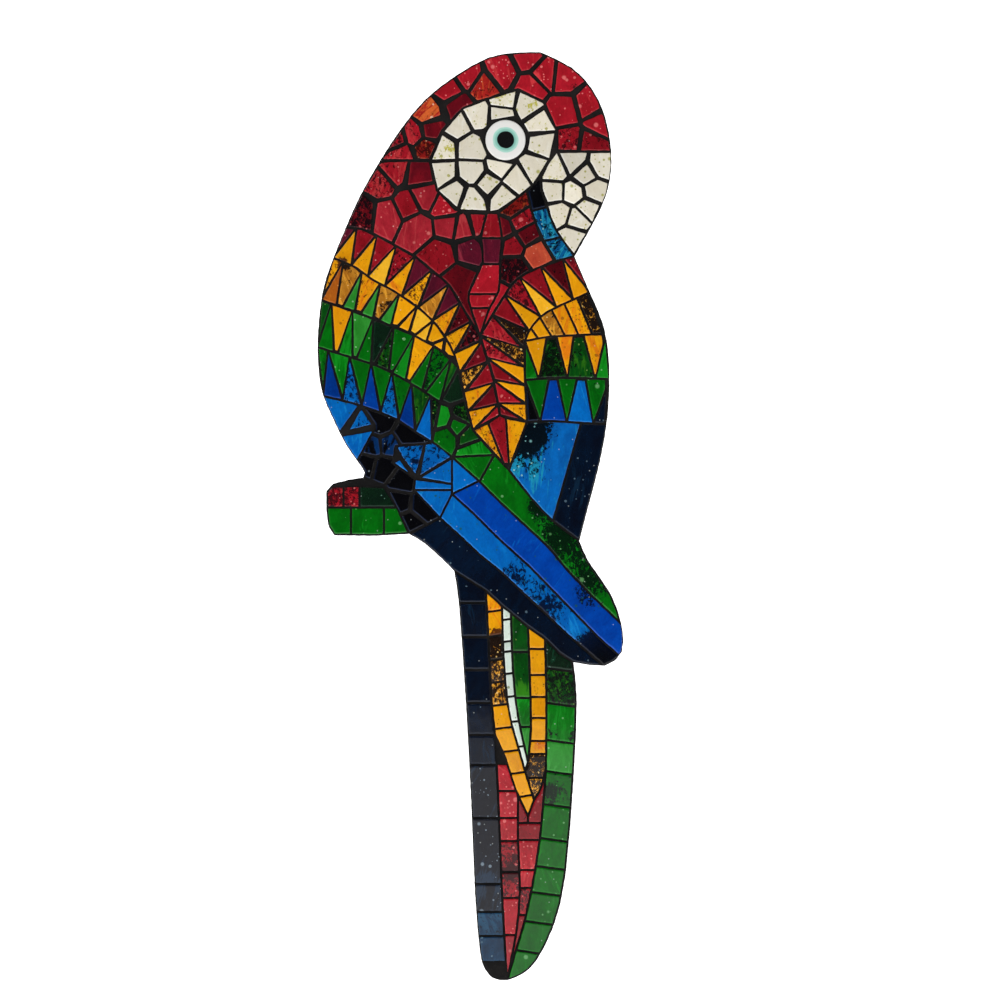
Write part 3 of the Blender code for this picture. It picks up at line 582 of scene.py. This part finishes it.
def painted_glass(name, base, shade, flame, dark, speck):
    """Glossy glass, painted in layers behind its face.

    The base wanders between two colours. Streaks of the flame colour and sponge marks of the dark colour
    cover as much of a tile as its tone says, and a painted highlight makes the rim on the lit side paler.
    Round specks lie in some of the cells of a cell pattern, as many as marks says, and a few small cells
    hold a painted white glint. A fine mottle and the last value of tone make all of it lighter or darker.
    """
    n = Nodes(name)
    grain = n.put("Attribute", {"attribute_name": "grain"})["Vector"]
    tone, marks = (
        n.put("SeparateXYZ", Vector=n.put("Attribute", {"attribute_name": label})["Vector"])
        for label in ("tone", "marks")
    )
    colour = n.mix(n.step(n.noise(grain, *WANDER), 0.30, 0.72), base, shade)
    colour = n.mix(n.covered(n.noise(grain, *STREAKS), tone[0], 0.52, (0.06, 0.07)), colour, flame)
    # Painted highlight: a paler copy of the paint, mixed in along the rim on the lit side
    edge_highlight_colour = tuple(min(1.0, 0.01 + 0.75 * (part + other)) for part, other in zip(base, flame))
    colour = n.mix(n.maths("MULTIPLY", marks[1], 0.6), colour, edge_highlight_colour)
    colour = n.mix(n.covered(n.noise(grain, *SPONGE), tone[1], 0.50, (0.03, 0.03)), colour, dark)
    for size, most, soft in SPECKS:
        at = n.put("VectorMath", {"operation": "ADD"}, i0=grain, i1=(size * 90, size * 70, 0))[0]
        cells = n.put("TexVoronoi", {"voronoi_dimensions": "2D"}, Vector=at, Scale=1 / size, Randomness=1.0)
        chosen = n.put("SeparateColor", Color=cells["Color"])
        reach = n.maths("MULTIPLY", chosen[1], most)
        near = n.step(n.maths("SUBTRACT", reach, cells["Distance"]), -0.02, soft)
        filled = n.maths("LESS_THAN", chosen[0], n.maths("MULTIPLY", marks[0], 0.45))
        colour = n.mix(n.maths("MULTIPLY", n.maths("MULTIPLY", filled, near), 0.85), colour, speck)
    # Painted glints: a few of the smallest cells hold a pale dot that stands in for a highlight on the
    # glass
    round_painted_glint = n.step(cells["Distance"], 0.19, 0.10)
    painted_glint = n.maths("MULTIPLY", round_painted_glint, n.maths("GREATER_THAN", chosen[2], 0.98))
    colour = n.mix(n.maths("MULTIPLY", painted_glint, 0.30), colour, (0.60, 0.66, 0.64))
    swing = 0.8 * (1 - base[1])
    mottle = n.maths("ADD", 1 - swing / 2, n.maths("MULTIPLY", n.noise(grain, *MOTTLE), swing))
    light = n.maths("MULTIPLY", tone[2], mottle)
    level = n.put("CombineColor", Red=light, Green=light, Blue=light)[0]
    lit = n.put("Mix", {"data_type": "RGBA", "blend_type": "MULTIPLY"}, i0=1.0, i6=colour, i7=level)[2]
    height = n.maths("ADD", n.noise(grain, *RIPPLE), n.maths("MULTIPLY", n.noise(grain, *PITS), 0.02))
    bump = n.put("Bump", Strength=0.12, Distance=0.0006, Height=height)[0]
    return n.finish(Base_Color=lit, Roughness=0.09, IOR=1.5, Specular_IOR_Level=0.3, Normal=bump)


def grout_material():
    """Matte charcoal cement: a fine grain with paler sand and brown dust."""
    n = Nodes("charcoal_grout")
    at = n.put("TexCoord")["Object"]
    sand = n.noise(at, 1500.0, 3.0, 0.6)
    cloud = n.noise(at, 60.0, 3.0, 0.6)
    colour = n.mix(n.step(cloud, 0.35, 0.7), (0.0045, 0.0042, 0.0045), (0.0125, 0.0110, 0.0105))
    colour = n.mix(n.step(sand, 0.62, 0.8), colour, (0.030, 0.027, 0.025))
    bump = n.put("Bump", Strength=0.6, Distance=0.0003, Height=sand)[0]
    return n.finish(Base_Color=colour, Roughness=0.92, Specular_IOR_Level=0.2, Normal=bump)


def board_material():
    """Black paint brushed onto a sawn board: long low ridges and a few worn, dusty streaks."""
    n = Nodes("black_painted_board")
    at = n.put("TexCoord")["Object"]
    brush = n.noise(at, 260.0, 4.0, 0.6, (1, 1, 0.06))
    dust = n.noise(at, 26.0, 5.0, 0.65)
    colour = n.mix(n.step(brush, 0.3, 0.75), (0.010, 0.010, 0.011), (0.019, 0.018, 0.018))
    colour = n.mix(n.maths("MULTIPLY", n.step(dust, 0.55, 0.8), 0.4), colour, (0.055, 0.050, 0.045))
    rough = n.put("MapRange", Value=dust, To_Min=0.45, To_Max=0.75)[0]
    bump = n.put("Bump", Strength=0.35, Distance=0.0004, Height=brush)[0]
    return n.finish(Base_Color=colour, Roughness=rough, Specular_IOR_Level=0.35, Normal=bump)


def eye_material():
    """Painted rings round the eye's middle, with edges that wander a little: black, mint and white.

    Each ring's soft edge starts and ends at so many squares of the picture's grid from the middle.
    """
    pupil_edge, mint_fade, mint_edge = (8.2, 9.0), (9.5, 12.0), (12.2, 13.4)
    n = Nodes("eye_glass")
    at = n.put("TexCoord")["Object"]
    x, z = on_panel(EYE_MIDDLE)
    flat = n.put("VectorMath", {"operation": "MULTIPLY"}, i0=at, i1=(1, 0, 1))[0]
    away = n.put("VectorMath", {"operation": "DISTANCE"}, i0=flat, i1=(x, 0, z))["Value"]
    wobble = n.maths("MULTIPLY", n.maths("SUBTRACT", n.noise(at, 130.0, 2.0), 0.5), 0.0011)
    away = n.maths("ADD", away, wobble)
    pupil, inner, mint = (
        n.step(away, start * UNIT, end * UNIT) for start, end in (pupil_edge, mint_fade, mint_edge)
    )
    ring = n.mix(inner, (0.25, 0.55, 0.46), (0.42, 0.72, 0.62))
    colour = n.mix(mint, ring, (0.84, 0.83, 0.80))
    colour = n.mix(pupil, (0.006, 0.006, 0.007), colour)
    return n.finish(Base_Color=colour, Roughness=0.08, Specular_IOR_Level=0.4)


# Paints: base, shade, flame, dark and speck colours
PAINTS = {
    # The crimson's pale pink specks are partly bubbles in the glass and partly painted highlights that
    # those bubbles catch
    "crimson": (
        (0.42, 0.010, 0.022), (0.30, 0.007, 0.014), (0.52, 0.034, 0.040), (0.05, 0.004, 0.007),
        (0.70, 0.15, 0.15),
    ),
    "maroon": (
        (0.16, 0.004, 0.010), (0.09, 0.003, 0.008), (0.36, 0.016, 0.020), (0.012, 0.003, 0.005),
        (0.50, 0.10, 0.11),
    ),
    "rose": (
        (0.37, 0.018, 0.030), (0.27, 0.011, 0.020), (0.42, 0.038, 0.044), (0.07, 0.006, 0.011),
        (0.58, 0.14, 0.13),
    ),
    "plum": (
        (0.115, 0.006, 0.020), (0.065, 0.005, 0.016), (0.26, 0.024, 0.045), (0.010, 0.003, 0.006),
        (0.40, 0.10, 0.13),
    ),
    "flame": (
        (0.46, 0.022, 0.016), (0.30, 0.010, 0.010), (0.66, 0.125, 0.028), (0.07, 0.006, 0.006),
        (0.86, 0.52, 0.34),
    ),
    "orange": (
        (0.50, 0.075, 0.034), (0.40, 0.044, 0.024), (0.58, 0.115, 0.050), (0.12, 0.012, 0.010),
        (0.72, 0.28, 0.18),
    ),
    "cream": (
        (0.78, 0.73, 0.61), (0.73, 0.67, 0.53), (0.81, 0.78, 0.69), (0.50, 0.46, 0.08), (0.36, 0.35, 0.06),
    ),
    "gold": (
        (0.82, 0.36, 0.004), (0.72, 0.28, 0.003), (0.72, 0.19, 0.006), (0.10, 0.028, 0.005),
        (0.32, 0.10, 0.008),
    ),
    "lemon": (
        (0.88, 0.47, 0.025), (0.82, 0.38, 0.012), (0.80, 0.27, 0.008), (0.14, 0.05, 0.010),
        (0.42, 0.17, 0.02),
    ),
    "bronze": (
        (0.50, 0.21, 0.020), (0.36, 0.12, 0.009), (0.76, 0.34, 0.030), (0.016, 0.008, 0.005),
        (0.90, 0.60, 0.20),
    ),
    "rust": (
        (0.42, 0.110, 0.009), (0.32, 0.070, 0.007), (0.56, 0.190, 0.018), (0.05, 0.012, 0.005),
        (0.66, 0.28, 0.05),
    ),
    "green": (
        (0.001, 0.135, 0.004), (0.001, 0.090, 0.003), (0.004, 0.190, 0.009), (0.001, 0.016, 0.004),
        (0.12, 0.34, 0.12),
    ),
    "leaf": (
        (0.030, 0.280, 0.030), (0.018, 0.205, 0.018), (0.055, 0.340, 0.055), (0.003, 0.050, 0.008),
        (0.28, 0.56, 0.28),
    ),
    "moss": (
        (0.002, 0.070, 0.005), (0.002, 0.036, 0.004), (0.020, 0.130, 0.006), (0.002, 0.007, 0.003),
        (0.16, 0.28, 0.06),
    ),
    "pine": (
        (0.003, 0.016, 0.006), (0.002, 0.009, 0.005), (0.006, 0.046, 0.022), (0.002, 0.003, 0.003),
        (0.08, 0.18, 0.13),
    ),
    "royal": (
        (0.000, 0.052, 0.36), (0.000, 0.038, 0.29), (0.001, 0.095, 0.44), (0.001, 0.006, 0.028),
        (0.01, 0.07, 0.09),
    ),
    "azure": (
        (0.001, 0.145, 0.52), (0.001, 0.105, 0.43), (0.005, 0.205, 0.58), (0.001, 0.008, 0.036),
        (0.01, 0.09, 0.11),
    ),
    "lagoon": (
        (0.002, 0.125, 0.45), (0.002, 0.085, 0.33), (0.010, 0.240, 0.40), (0.001, 0.005, 0.010),
        (0.22, 0.50, 0.50),
    ),
    "teal": (
        (0.003, 0.120, 0.32), (0.002, 0.060, 0.20), (0.020, 0.330, 0.50), (0.001, 0.006, 0.014),
        (0.25, 0.55, 0.55),
    ),
    "steel": (
        (0.004, 0.036, 0.088), (0.003, 0.020, 0.052), (0.010, 0.060, 0.125), (0.003, 0.008, 0.020),
        (0.10, 0.19, 0.26),
    ),
    # Painted reflection: a greyed navy that stands in for the hazy reflection lying over the lower tail's
    # navy glass
    "slate": (
        (0.008, 0.009, 0.015), (0.007, 0.007, 0.011), (0.014, 0.026, 0.048), (0.004, 0.005, 0.008),
        (0.17, 0.22, 0.27),
    ),
    "navy": (
        (0.0012, 0.003, 0.010), (0.001, 0.006, 0.019), (0.003, 0.014, 0.034), (0.0005, 0.0005, 0.002),
        (0.08, 0.13, 0.17),
    ),
    "black": (
        (0.001, 0.001, 0.002), (0.002, 0.002, 0.003), (0.002, 0.026, 0.110), (0.0005, 0.0005, 0.001),
        (0.12, 0.15, 0.17),
    ),
    "mint": (
        (0.66, 0.76, 0.68), (0.58, 0.70, 0.61), (0.68, 0.78, 0.75), (0.27, 0.28, 0.08), (0.19, 0.23, 0.10),
    ),
}

# Sheets of glass, each one paint with its own flame streaks, dark marks, lightness and specks
SHEETS = {
    "crimson": ("crimson", 0.20, 0.14, 1.00, 0.22),
    # Bubbled glass: its many pale pink specks are bubbles drawn with painted highlights on them
    "bubbled_glinting": ("crimson", 0.34, 0.20, 1.05, 1.00),
    "streaky": ("crimson", 0.45, 0.46, 0.92, 0.25),
    "mottled": ("crimson", 0.24, 0.54, 0.90, 0.20),
    "wine": ("crimson", 0.14, 0.34, 0.66, 0.22),
    "maroon": ("maroon", 0.24, 0.28, 1.00, 0.10),
    "dark maroon": ("maroon", 0.05, 0.40, 0.70, 0.08),
    "black maroon": ("maroon", 0.28, 0.62, 0.75, 0.30),
    "rose": ("rose", 0.24, 0.22, 0.98, 0.20),
    "blush": ("rose", 0.46, 0.22, 1.05, 0.35),
    "plum": ("plum", 0.30, 0.28, 1.00, 0.10),
    "flamed": ("flame", 0.46, 0.34, 1.00, 0.40),
    "burnt": ("flame", 0.34, 0.54, 0.62, 0.10),
    "orange": ("orange", 0.30, 0.18, 1.00, 0.15),
    "cream": ("cream", 0.30, 0.33, 1.00, 0.95),
    "plain cream": ("cream", 0.30, 0.14, 1.00, 0.45),
    "gold": ("gold", 0.24, 0.26, 1.00, 0.25),
    "plain gold": ("gold", 0.14, 0.08, 1.00, 0.06),
    "speckled gold": ("gold", 0.42, 0.42, 0.97, 0.60),
    "orange gold": ("gold", 0.46, 0.26, 0.98, 0.30),
    "smoked gold": ("gold", 0.30, 0.50, 0.95, 0.30),
    "lemon": ("lemon", 0.24, 0.10, 1.00, 0.10),
    "bronze": ("bronze", 0.46, 0.36, 1.00, 0.15),
    "tortoise": ("bronze", 0.66, 0.63, 1.00, 0.20),
    "dark tortoise": ("bronze", 0.58, 0.73, 0.85, 0.20),
    "rust": ("rust", 0.25, 0.18, 1.00, 0.10),
    "green": ("green", 0.25, 0.16, 1.00, 0.12),
    "brushed green": ("green", 0.30, 0.46, 0.92, 0.14),
    "bright green": ("green", 0.62, 0.10, 1.22, 0.12),
    "leaf": ("leaf", 0.24, 0.10, 1.00, 0.10),
    "moss": ("moss", 0.34, 0.34, 1.00, 0.14),
    "dark moss": ("moss", 0.44, 0.62, 0.95, 0.22),
    "pine": ("pine", 0.24, 0.30, 1.00, 0.10),
    "royal": ("royal", 0.20, 0.10, 1.00, 0.14),
    "deep royal": ("royal", 0.14, 0.26, 0.72, 0.10),
    "azure": ("azure", 0.26, 0.10, 1.00, 0.16),
    "brushed azure": ("azure", 0.28, 0.50, 0.90, 0.10),
    "lagoon": ("lagoon", 0.30, 0.20, 1.00, 0.06),
    "teal": ("teal", 0.44, 0.52, 0.90, 0.20),
    "steel": ("steel", 0.36, 0.36, 1.00, 0.14),
    # Painted reflection: navy glass greyed by a painted haze
    "slate": ("slate", 0.30, 0.20, 1.00, 0.36),
    "navy": ("navy", 0.20, 0.16, 1.00, 0.04),
    "black": ("black", 0.00, 0.10, 1.00, 0.06),
    "sponged black": ("black", 0.62, 0.10, 1.00, 0.10),
    "mint": ("mint", 0.30, 0.26, 1.00, 0.26),
}

# Each field: its slot, the sheet that most of its tiles are cut from, and the tiles that are cut from
# other sheets, each given by a point of the picture's grid inside it
FIELDS = {
    "crown_red_tiles": ("red_glass", "crimson", {
        "flamed": ((427, 109), (483, 91)), "maroon": ((458, 105), (436, 129)),
        "streaky": ((400, 152), (412, 132)), "mottled": ((396, 141), (567, 135)),
        "bubbled_glinting": ((468, 76), (499, 68), (547, 74), (589, 99), (596, 124)), "burnt": ((424, 149),),
        "wine": ((598, 144),),
    }),
    "nape_red_tiles": ("red_glass", "rose", {
        "streaky": ((393, 171), (379, 186)), "black maroon": ((360, 214),), "maroon": ((418, 175),),
        "blush": ((386, 224), (462, 225), (414, 233)), "bubbled_glinting": ((445, 210),), "plum": ((472, 251),),
        "dark maroon": ((463, 294),), "wine": ((436, 256), (404, 199), (478, 224)),
    }),
    "keel_red_tiles": ("red_glass", "wine", {"crimson": ((481, 300), (486, 281)), "plum": ((491, 253),)}),
    "throat_red_tiles": ("deep_red_glass", "wine", {
        "burnt": ((519, 203),), "streaky": ((524, 218),), "maroon": ((506, 226),), "orange": ((538, 254),),
        "dark maroon": ((530, 232),), "black maroon": ((511, 271),), "crimson": ((495, 302),),
    }),
    "face_cream_tiles": ("cream_glass", "cream", {
        "plain cream": ((444, 172), (539, 144), (494, 166), (469, 170), (502, 113), (515, 183)),
    }),
    "upper_beak_cream_tiles": ("cream_glass", "plain cream", {
        "cream": ((559, 214), (590, 207), (580, 220), (553, 171)),
    }),
    "lower_beak_blue_tiles": ("blue_glass", "teal", {"black": ((537, 197),)}),
    "left_shoulder_gold_teeth": ("gold_glass", "gold", {
        "orange gold": ((365, 259), (400, 279)), "smoked gold": ((416, 291), (457, 336)),
        "tortoise": ((471, 373),), "bronze": ((434, 302),), "plain gold": ((347, 249), (464, 355)),
        "lemon": ((382, 270),), "speckled gold": ((446, 318), (480, 413)),
    }),
    "left_shoulder_red_teeth": ("deep_red_glass", "maroon", {
        "plum": ((347, 234), (418, 271), (435, 284), (449, 297)),
        "wine": ((363, 237), (382, 247), (484, 376)), "mottled": ((400, 257),),
        "dark maroon": ((460, 316),), "black maroon": ((472, 337),), "crimson": ((492, 415),),
    }),
    "right_shoulder_gold_teeth": ("gold_glass", "gold", {
        "plain gold": ((574, 282), (517, 372), (519, 392)), "tortoise": ((510, 349),),
        "dark tortoise": ((515, 330),), "speckled gold": ((515, 409),), "lemon": ((537, 298),),
    }),
    "right_shoulder_red_teeth": ("deep_red_glass", "wine", {
        "dark maroon": ((555, 269),), "maroon": ((572, 265), (506, 412)),
        "streaky": ((493, 329), (493, 351)), "mottled": ((517, 291),), "crimson": ((503, 396),),
    }),
    "breast_tip_tiles": ("gold_glass", "speckled gold", {"wine": ((501, 436),)}),
    "left_wing_gold_row": ("gold_glass", "gold", {
        "speckled gold": ((333, 270), (365, 289)), "rust": ((334, 287),),
        "leaf": ((353, 295), (371, 304), (390, 312)), "bronze": ((386, 299), (347, 282)),
        "plain gold": ((403, 309), (407, 321)), "lemon": ((419, 319), (424, 332)),
    }),
    "left_wing_green_row": ("green_glass", "green", {
        "orange gold": ((340, 322),), "leaf": ((359, 329),), "pine": ((379, 336),),
        "dark moss": ((385, 352),), "gold": ((418, 354),), "bright green": ((404, 361), (347, 341)),
        "brushed green": ((436, 366),), "moss": ((323, 314), (450, 374)),
    }),
    "left_wing_green_teeth": ("green_glass", "green", {
        "brushed green": ((322, 361), (402, 387)), "bright green": ((340, 364),), "moss": ((419, 399),),
        "dark moss": ((434, 410),),
    }),
    "left_wing_blue_teeth": ("blue_glass", "royal", {
        "deep royal": ((331, 379), (407, 411)), "brushed azure": ((389, 401), (350, 387)),
        "azure": ((424, 423),),
    }),
    "side_green_tiles": ("green_glass", "moss", {
        "pine": ((456, 390),), "dark moss": ((462, 412),), "bright green": ((444, 416), (471, 450)),
        "brushed green": ((445, 441),), "green": ((456, 426),),
    }),
    "belly_edge_blue_tiles": ("blue_glass", "azure", {"brushed azure": ((360, 420),)}),
    "belly_black_tiles": ("black_glass", "black", {"sponged black": ((390, 445), (373, 447))}),
    "belly_blue_tiles": ("blue_glass", "azure", {"brushed azure": ((409, 455), (434, 453))}),
    "right_wing_gold_row": ("gold_glass", "gold", {
        "plain gold": ((540, 330),), "bronze": ((553, 326),), "orange gold": ((564, 320),),
        "speckled gold": ((576, 314),), "dark tortoise": ((588, 311),),
    }),
    "right_wing_gold_teeth": ("gold_glass", "gold", {"orange gold": ((565, 349), (594, 351))}),
    "right_wing_green_teeth": ("green_glass", "green", {
        "dark moss": ((553, 364),), "moss": ((581, 363),), "bright green": ((603, 365),),
    }),
    "right_wing_lower_green_teeth": ("green_glass", "green", {"brushed green": ((594, 395),)}),
    "right_wing_blue_teeth": ("blue_glass", "azure", {
        "navy": ((602, 411),), "black": ((531, 409),), "royal": ((553, 404),),
    }),
    "right_wing_blue_feather": ("blue_glass", "lagoon", {}),
    "right_wing_navy_feather": ("navy_glass", "navy", {}),
    "long_green_feather": ("green_glass", "green", {}),
    "long_royal_blue_feather": ("blue_glass", "royal", {}),
    "long_sky_blue_feather": ("sky_glass", "azure", {}),
    "long_navy_feather": ("navy_glass", "navy", {}),
    "perch_red_tiles": ("red_glass", "mottled", {}),
    "perch_green_tiles": ("green_glass", "green", {"pine": ((374, 497),)}),
    "tail_navy_column": ("navy_glass", "navy", {
        # The greyed navy tiles low in the tail are painted reflection, not glass of another colour
        "slate": ((484, 792), (488, 850), (488, 898)), "steel": ((490, 925), (492, 950)),
    }),
    "tail_gold_column": ("gold_glass", "gold", {
        "orange gold": ((494, 604), (495, 623)), "tortoise": ((497, 671), (498, 694)),
        "dark tortoise": ((496, 647),), "plain gold": ((502, 716), (505, 739), (521, 785)),
    }),
    "tail_white_column": ("mint_glass", "mint", {}),
    "tail_inner_green_column": ("green_glass", "moss", {"green": ((523, 711),), "leaf": ((526, 738),)}),
    "tail_amber_column": ("gold_glass", "gold", {
        "dark tortoise": ((535, 766),), "tortoise": ((535, 786),), "orange gold": ((536, 747),),
    }),
    "tail_green_column": ("green_glass", "green", {
        "pine": ((559, 659),), "dark moss": ((563, 689),), "bright green": ((561, 726),),
        "leaf": ((557, 759),), "brushed green": ((555, 791),),
    }),
    "tail_left_red_column": ("red_glass", "bubbled_glinting", {
        "mottled": ((509, 860), (512, 885)), "rose": ((509, 951),),
    }),
    "tail_right_red_column": ("red_glass", "wine", {
        "bubbled_glinting": ((527, 878), (528, 856)), "mottled": ((523, 901),),
    }),
}

# How far a corner is chipped at most, in metres, in the fields of broken shards
CHIPS = {
    "crown_red_tiles": 0.0030,
    "nape_red_tiles": 0.0026,
    "throat_red_tiles": 0.0018,
    "face_cream_tiles": 0.0020,
    "upper_beak_cream_tiles": 0.0016,
    "side_green_tiles": 0.0018,
    "belly_black_tiles": 0.0010,
    "left_wing_gold_row": 0.0008,
    "left_shoulder_red_teeth": 0.0010,
    "right_shoulder_red_teeth": 0.0010,
}

# The bare rim of grout between a field and the board's outline, in metres
RIMS = {
    "crown_red_tiles": 0.0012,
    "nape_red_tiles": 0.0010,
    "right_shoulder_red_teeth": 0.0018,
    "right_shoulder_gold_teeth": 0.0018,
    "right_wing_gold_row": 0.0029,
    "right_wing_gold_teeth": 0.0029,
    "right_wing_green_teeth": 0.0029,
    "right_wing_lower_green_teeth": 0.0029,
    "right_wing_blue_teeth": 0.0020,
    "right_wing_navy_feather": 0.0020,
    "long_green_feather": 0.0014,
    "perch_red_tiles": 0.0014,
    "perch_green_tiles": 0.0013,
    "tail_green_column": 0.0015,
    "tail_navy_column": 0.0009,
}

# Places where the paint changes within a tile: a field, a point, a reach, and what is added there to
# its flame streaks, dark marks, lightness and specks
CHANGES = {
    "right_wing_blue_feather": (
        ((530, 426), 38, 0.0, 0.78, -0.40, 0.1), ((520, 450), 38, 0.4, 0.44, 0.0, 0.25),
        ((538, 476), 26, 0.35, 0.20, 0.0, 0.25),
    ),
    "right_wing_navy_feather": (
        ((584, 465), 24, 0.2, 0.0, 0.0, 0.2), ((578, 492), 26, 0.3, 0.0, 0.1, 0.35),
    ),
    "long_green_feather": (
        ((537, 506), 15, 0.0, 1.0, -0.4, 0.0), ((562, 535), 44, 0.4, 0.62, -0.35, 0.2),
        ((592, 578), 40, 0.3, 0.58, -0.30, 0.2),
    ),
    "long_royal_blue_feather": (
        ((588, 594), 30, 0.0, 0.58, -0.15, 0.1), ((520, 545), 60, 0.1, 0.0, 0.0, 0.0),
    ),
    "long_sky_blue_feather": (
        ((514, 575), 32, 0.0, 0.50, -0.1, 0.1), ((545, 606), 38, 0.1, 0.56, -0.1, 0.1),
        ((575, 630), 24, 0.3, 0.20, 0.0, 0.1), ((604, 660), 46, 0.0, 1.6, -0.9, 0.0),
    ),
    "long_navy_feather": (((455, 552), 60, 0.1, 0.0, 0.5, 0.0),),
    # Round (486, 890) the navy is painted lighter and streakier: part of the painted reflection over the
    # lower tail
    "tail_navy_column": (((482, 775), 30, 0.0, 0.0, 0.0, 0.2), ((486, 890), 50, 0.3, 0.0, 0.1, 0.0)),
    "tail_gold_column": (((496, 634), 10, 0.2, 0.8, -0.2, 0.0), ((494, 708), 8, 0.0, -0.6, 0.1, 0.0)),
    "tail_green_column": (
        ((575, 735), 12, 0.0, 0.7, -0.2, 0.0), ((553, 735), 14, 0.0, 0.5, -0.2, 0.0),
        ((550, 792), 14, 0.0, 0.5, -0.2, 0.3),
    ),
    "tail_inner_green_column": (((523, 695), 22, 0.6, -0.3, 0.6, 0.0),),
    "left_wing_gold_row": (((345, 262), 10, 0.0, 0.9, -0.2, 0.0), ((388, 306), 9, 0.0, 0.3, -0.1, 0.0)),
    "left_shoulder_gold_teeth": (((343, 262), 10, 0.0, 0.9, -0.2, 0.0),),
    "crown_red_tiles": (((536, 78), 9, 0.6, 0.0, 0.1, 0.0), ((575, 88), 8, 0.0, 0.5, -0.1, 0.0)),
    "tail_amber_column": (((541, 745), 8, 0.8, 0.0, 0.0, 0.0),),
    "tail_left_red_column": (((512, 872), 18, 0.0, 0.3, -0.1, 0.0), ((509, 910), 24, 0.1, 0.1, 0.0, 0.4)),
    "tail_right_red_column": (((529, 868), 22, 0.1, 0.0, 0.2, 0.5),),
    "face_cream_tiles": (
        ((450, 146), 12, 0.0, 0.2, 0.0, 0.2), ((500, 94), 9, 0.0, 0.3, 0.0, 0.2),
        ((534, 105), 9, 0.0, 0.25, 0.0, 0.2),
    ),
}

# How far a tile's flame streaks, dark marks, lightness and specks are off its sheet's: the spread
SHEET_SPREAD = 0.05, 0.04, 0.06, 0.03


def look_of(flame, dark, light, specks, changes):
    """A tile's look: its sheet's values, a little off from tile to tile, and changed near some places.

    A change is whole at its place and falls to nothing at its reach, as 1 - share squared, squared.
    """
    def look(flat, chance):
        off = chance.normal(0, 1, 4) * SHEET_SPREAD
        values = np.tile((flame, dark, light, specks), (len(flat), 1)) + off
        for place, reach, *added in changes:
            share = np.hypot(*(on_grid(flat) - place).T) / reach
            values += np.clip(1 - share**2, 0, 1)[:, None] ** 2 * added
        marks = np.column_stack([np.clip(values[:, 3], 0, 1), np.zeros((len(flat), 2))])
        return np.clip(values[:, :3], 0, 1.6), marks
    return look


def tiles(outline):
    """Every field's tiles, one piece for each field."""
    glass = {name: painted_glass(name + "_glass", *colours) for name, colours in PAINTS.items()}
    for order, (node, (slot, most, others)) in enumerate(FIELDS.items()):
        chance = np.random.default_rng(100 + order)
        paints = list(dict.fromkeys(SHEETS[sheet][0] for sheet in (most, *others)))
        shell = Shell()
        for packed in flat_outlines(node, TILE_FACE):
            holds = lambda spots: depth_inside(on_panel(spots), packed).max() > 0
            sheet = next((name for name, spots in others.items() if holds(spots)), most)
            paint, *values = SHEETS[sheet]
            loop = packed
            if node in CHIPS:
                loop = chipped(loop, chance, CHIPS[node])
            if node in RIMS:
                loop = kept_in(loop, outline, RIMS[node])
            look = look_of(*values, CHANGES.get(node, ()))
            lay_tile(shell, loop, packed, chance, paints.index(paint), look)
        shell.piece(node + "_glass", [glass[paint] for paint in paints], slot, node)


def board(outline):
    """The sawn board, and the bed of grout that lies on it between and round the tiles."""
    sawn = hand_cut(outline, np.random.default_rng(7), step=BOARD_STEP)
    wood = board_material(), "painted_board", "backing_board"
    plate("sawn_board", sawn, BOARD_FACE, BOARD_EDGE, BOARD_NET, BOARD_BACK, *wood)
    cement = grout_material(), "black_glass"
    plate("grout_bed", sawn, GROUT_FACE, GROUT_EDGE, GROUT_NET, GROUT_FOOT, *cement)


def eye():
    """The eye: a flat glass disc with a rounded rim."""
    loop = circle(on_panel(EYE_MIDDLE), EYE_RADIUS, EYE_SIDES)
    disc = eye_material(), "eye_glass", "eye_disc"
    plate("eye_glass_disc", loop, EYE_FACE, EYE_EDGE, EYE_NET, TILE_FOOT, *disc)


studio()
board_outline = flat_outlines("backing_board", BOARD_FACE)[0]
tiles(board_outline)
board(board_outline)
eye()
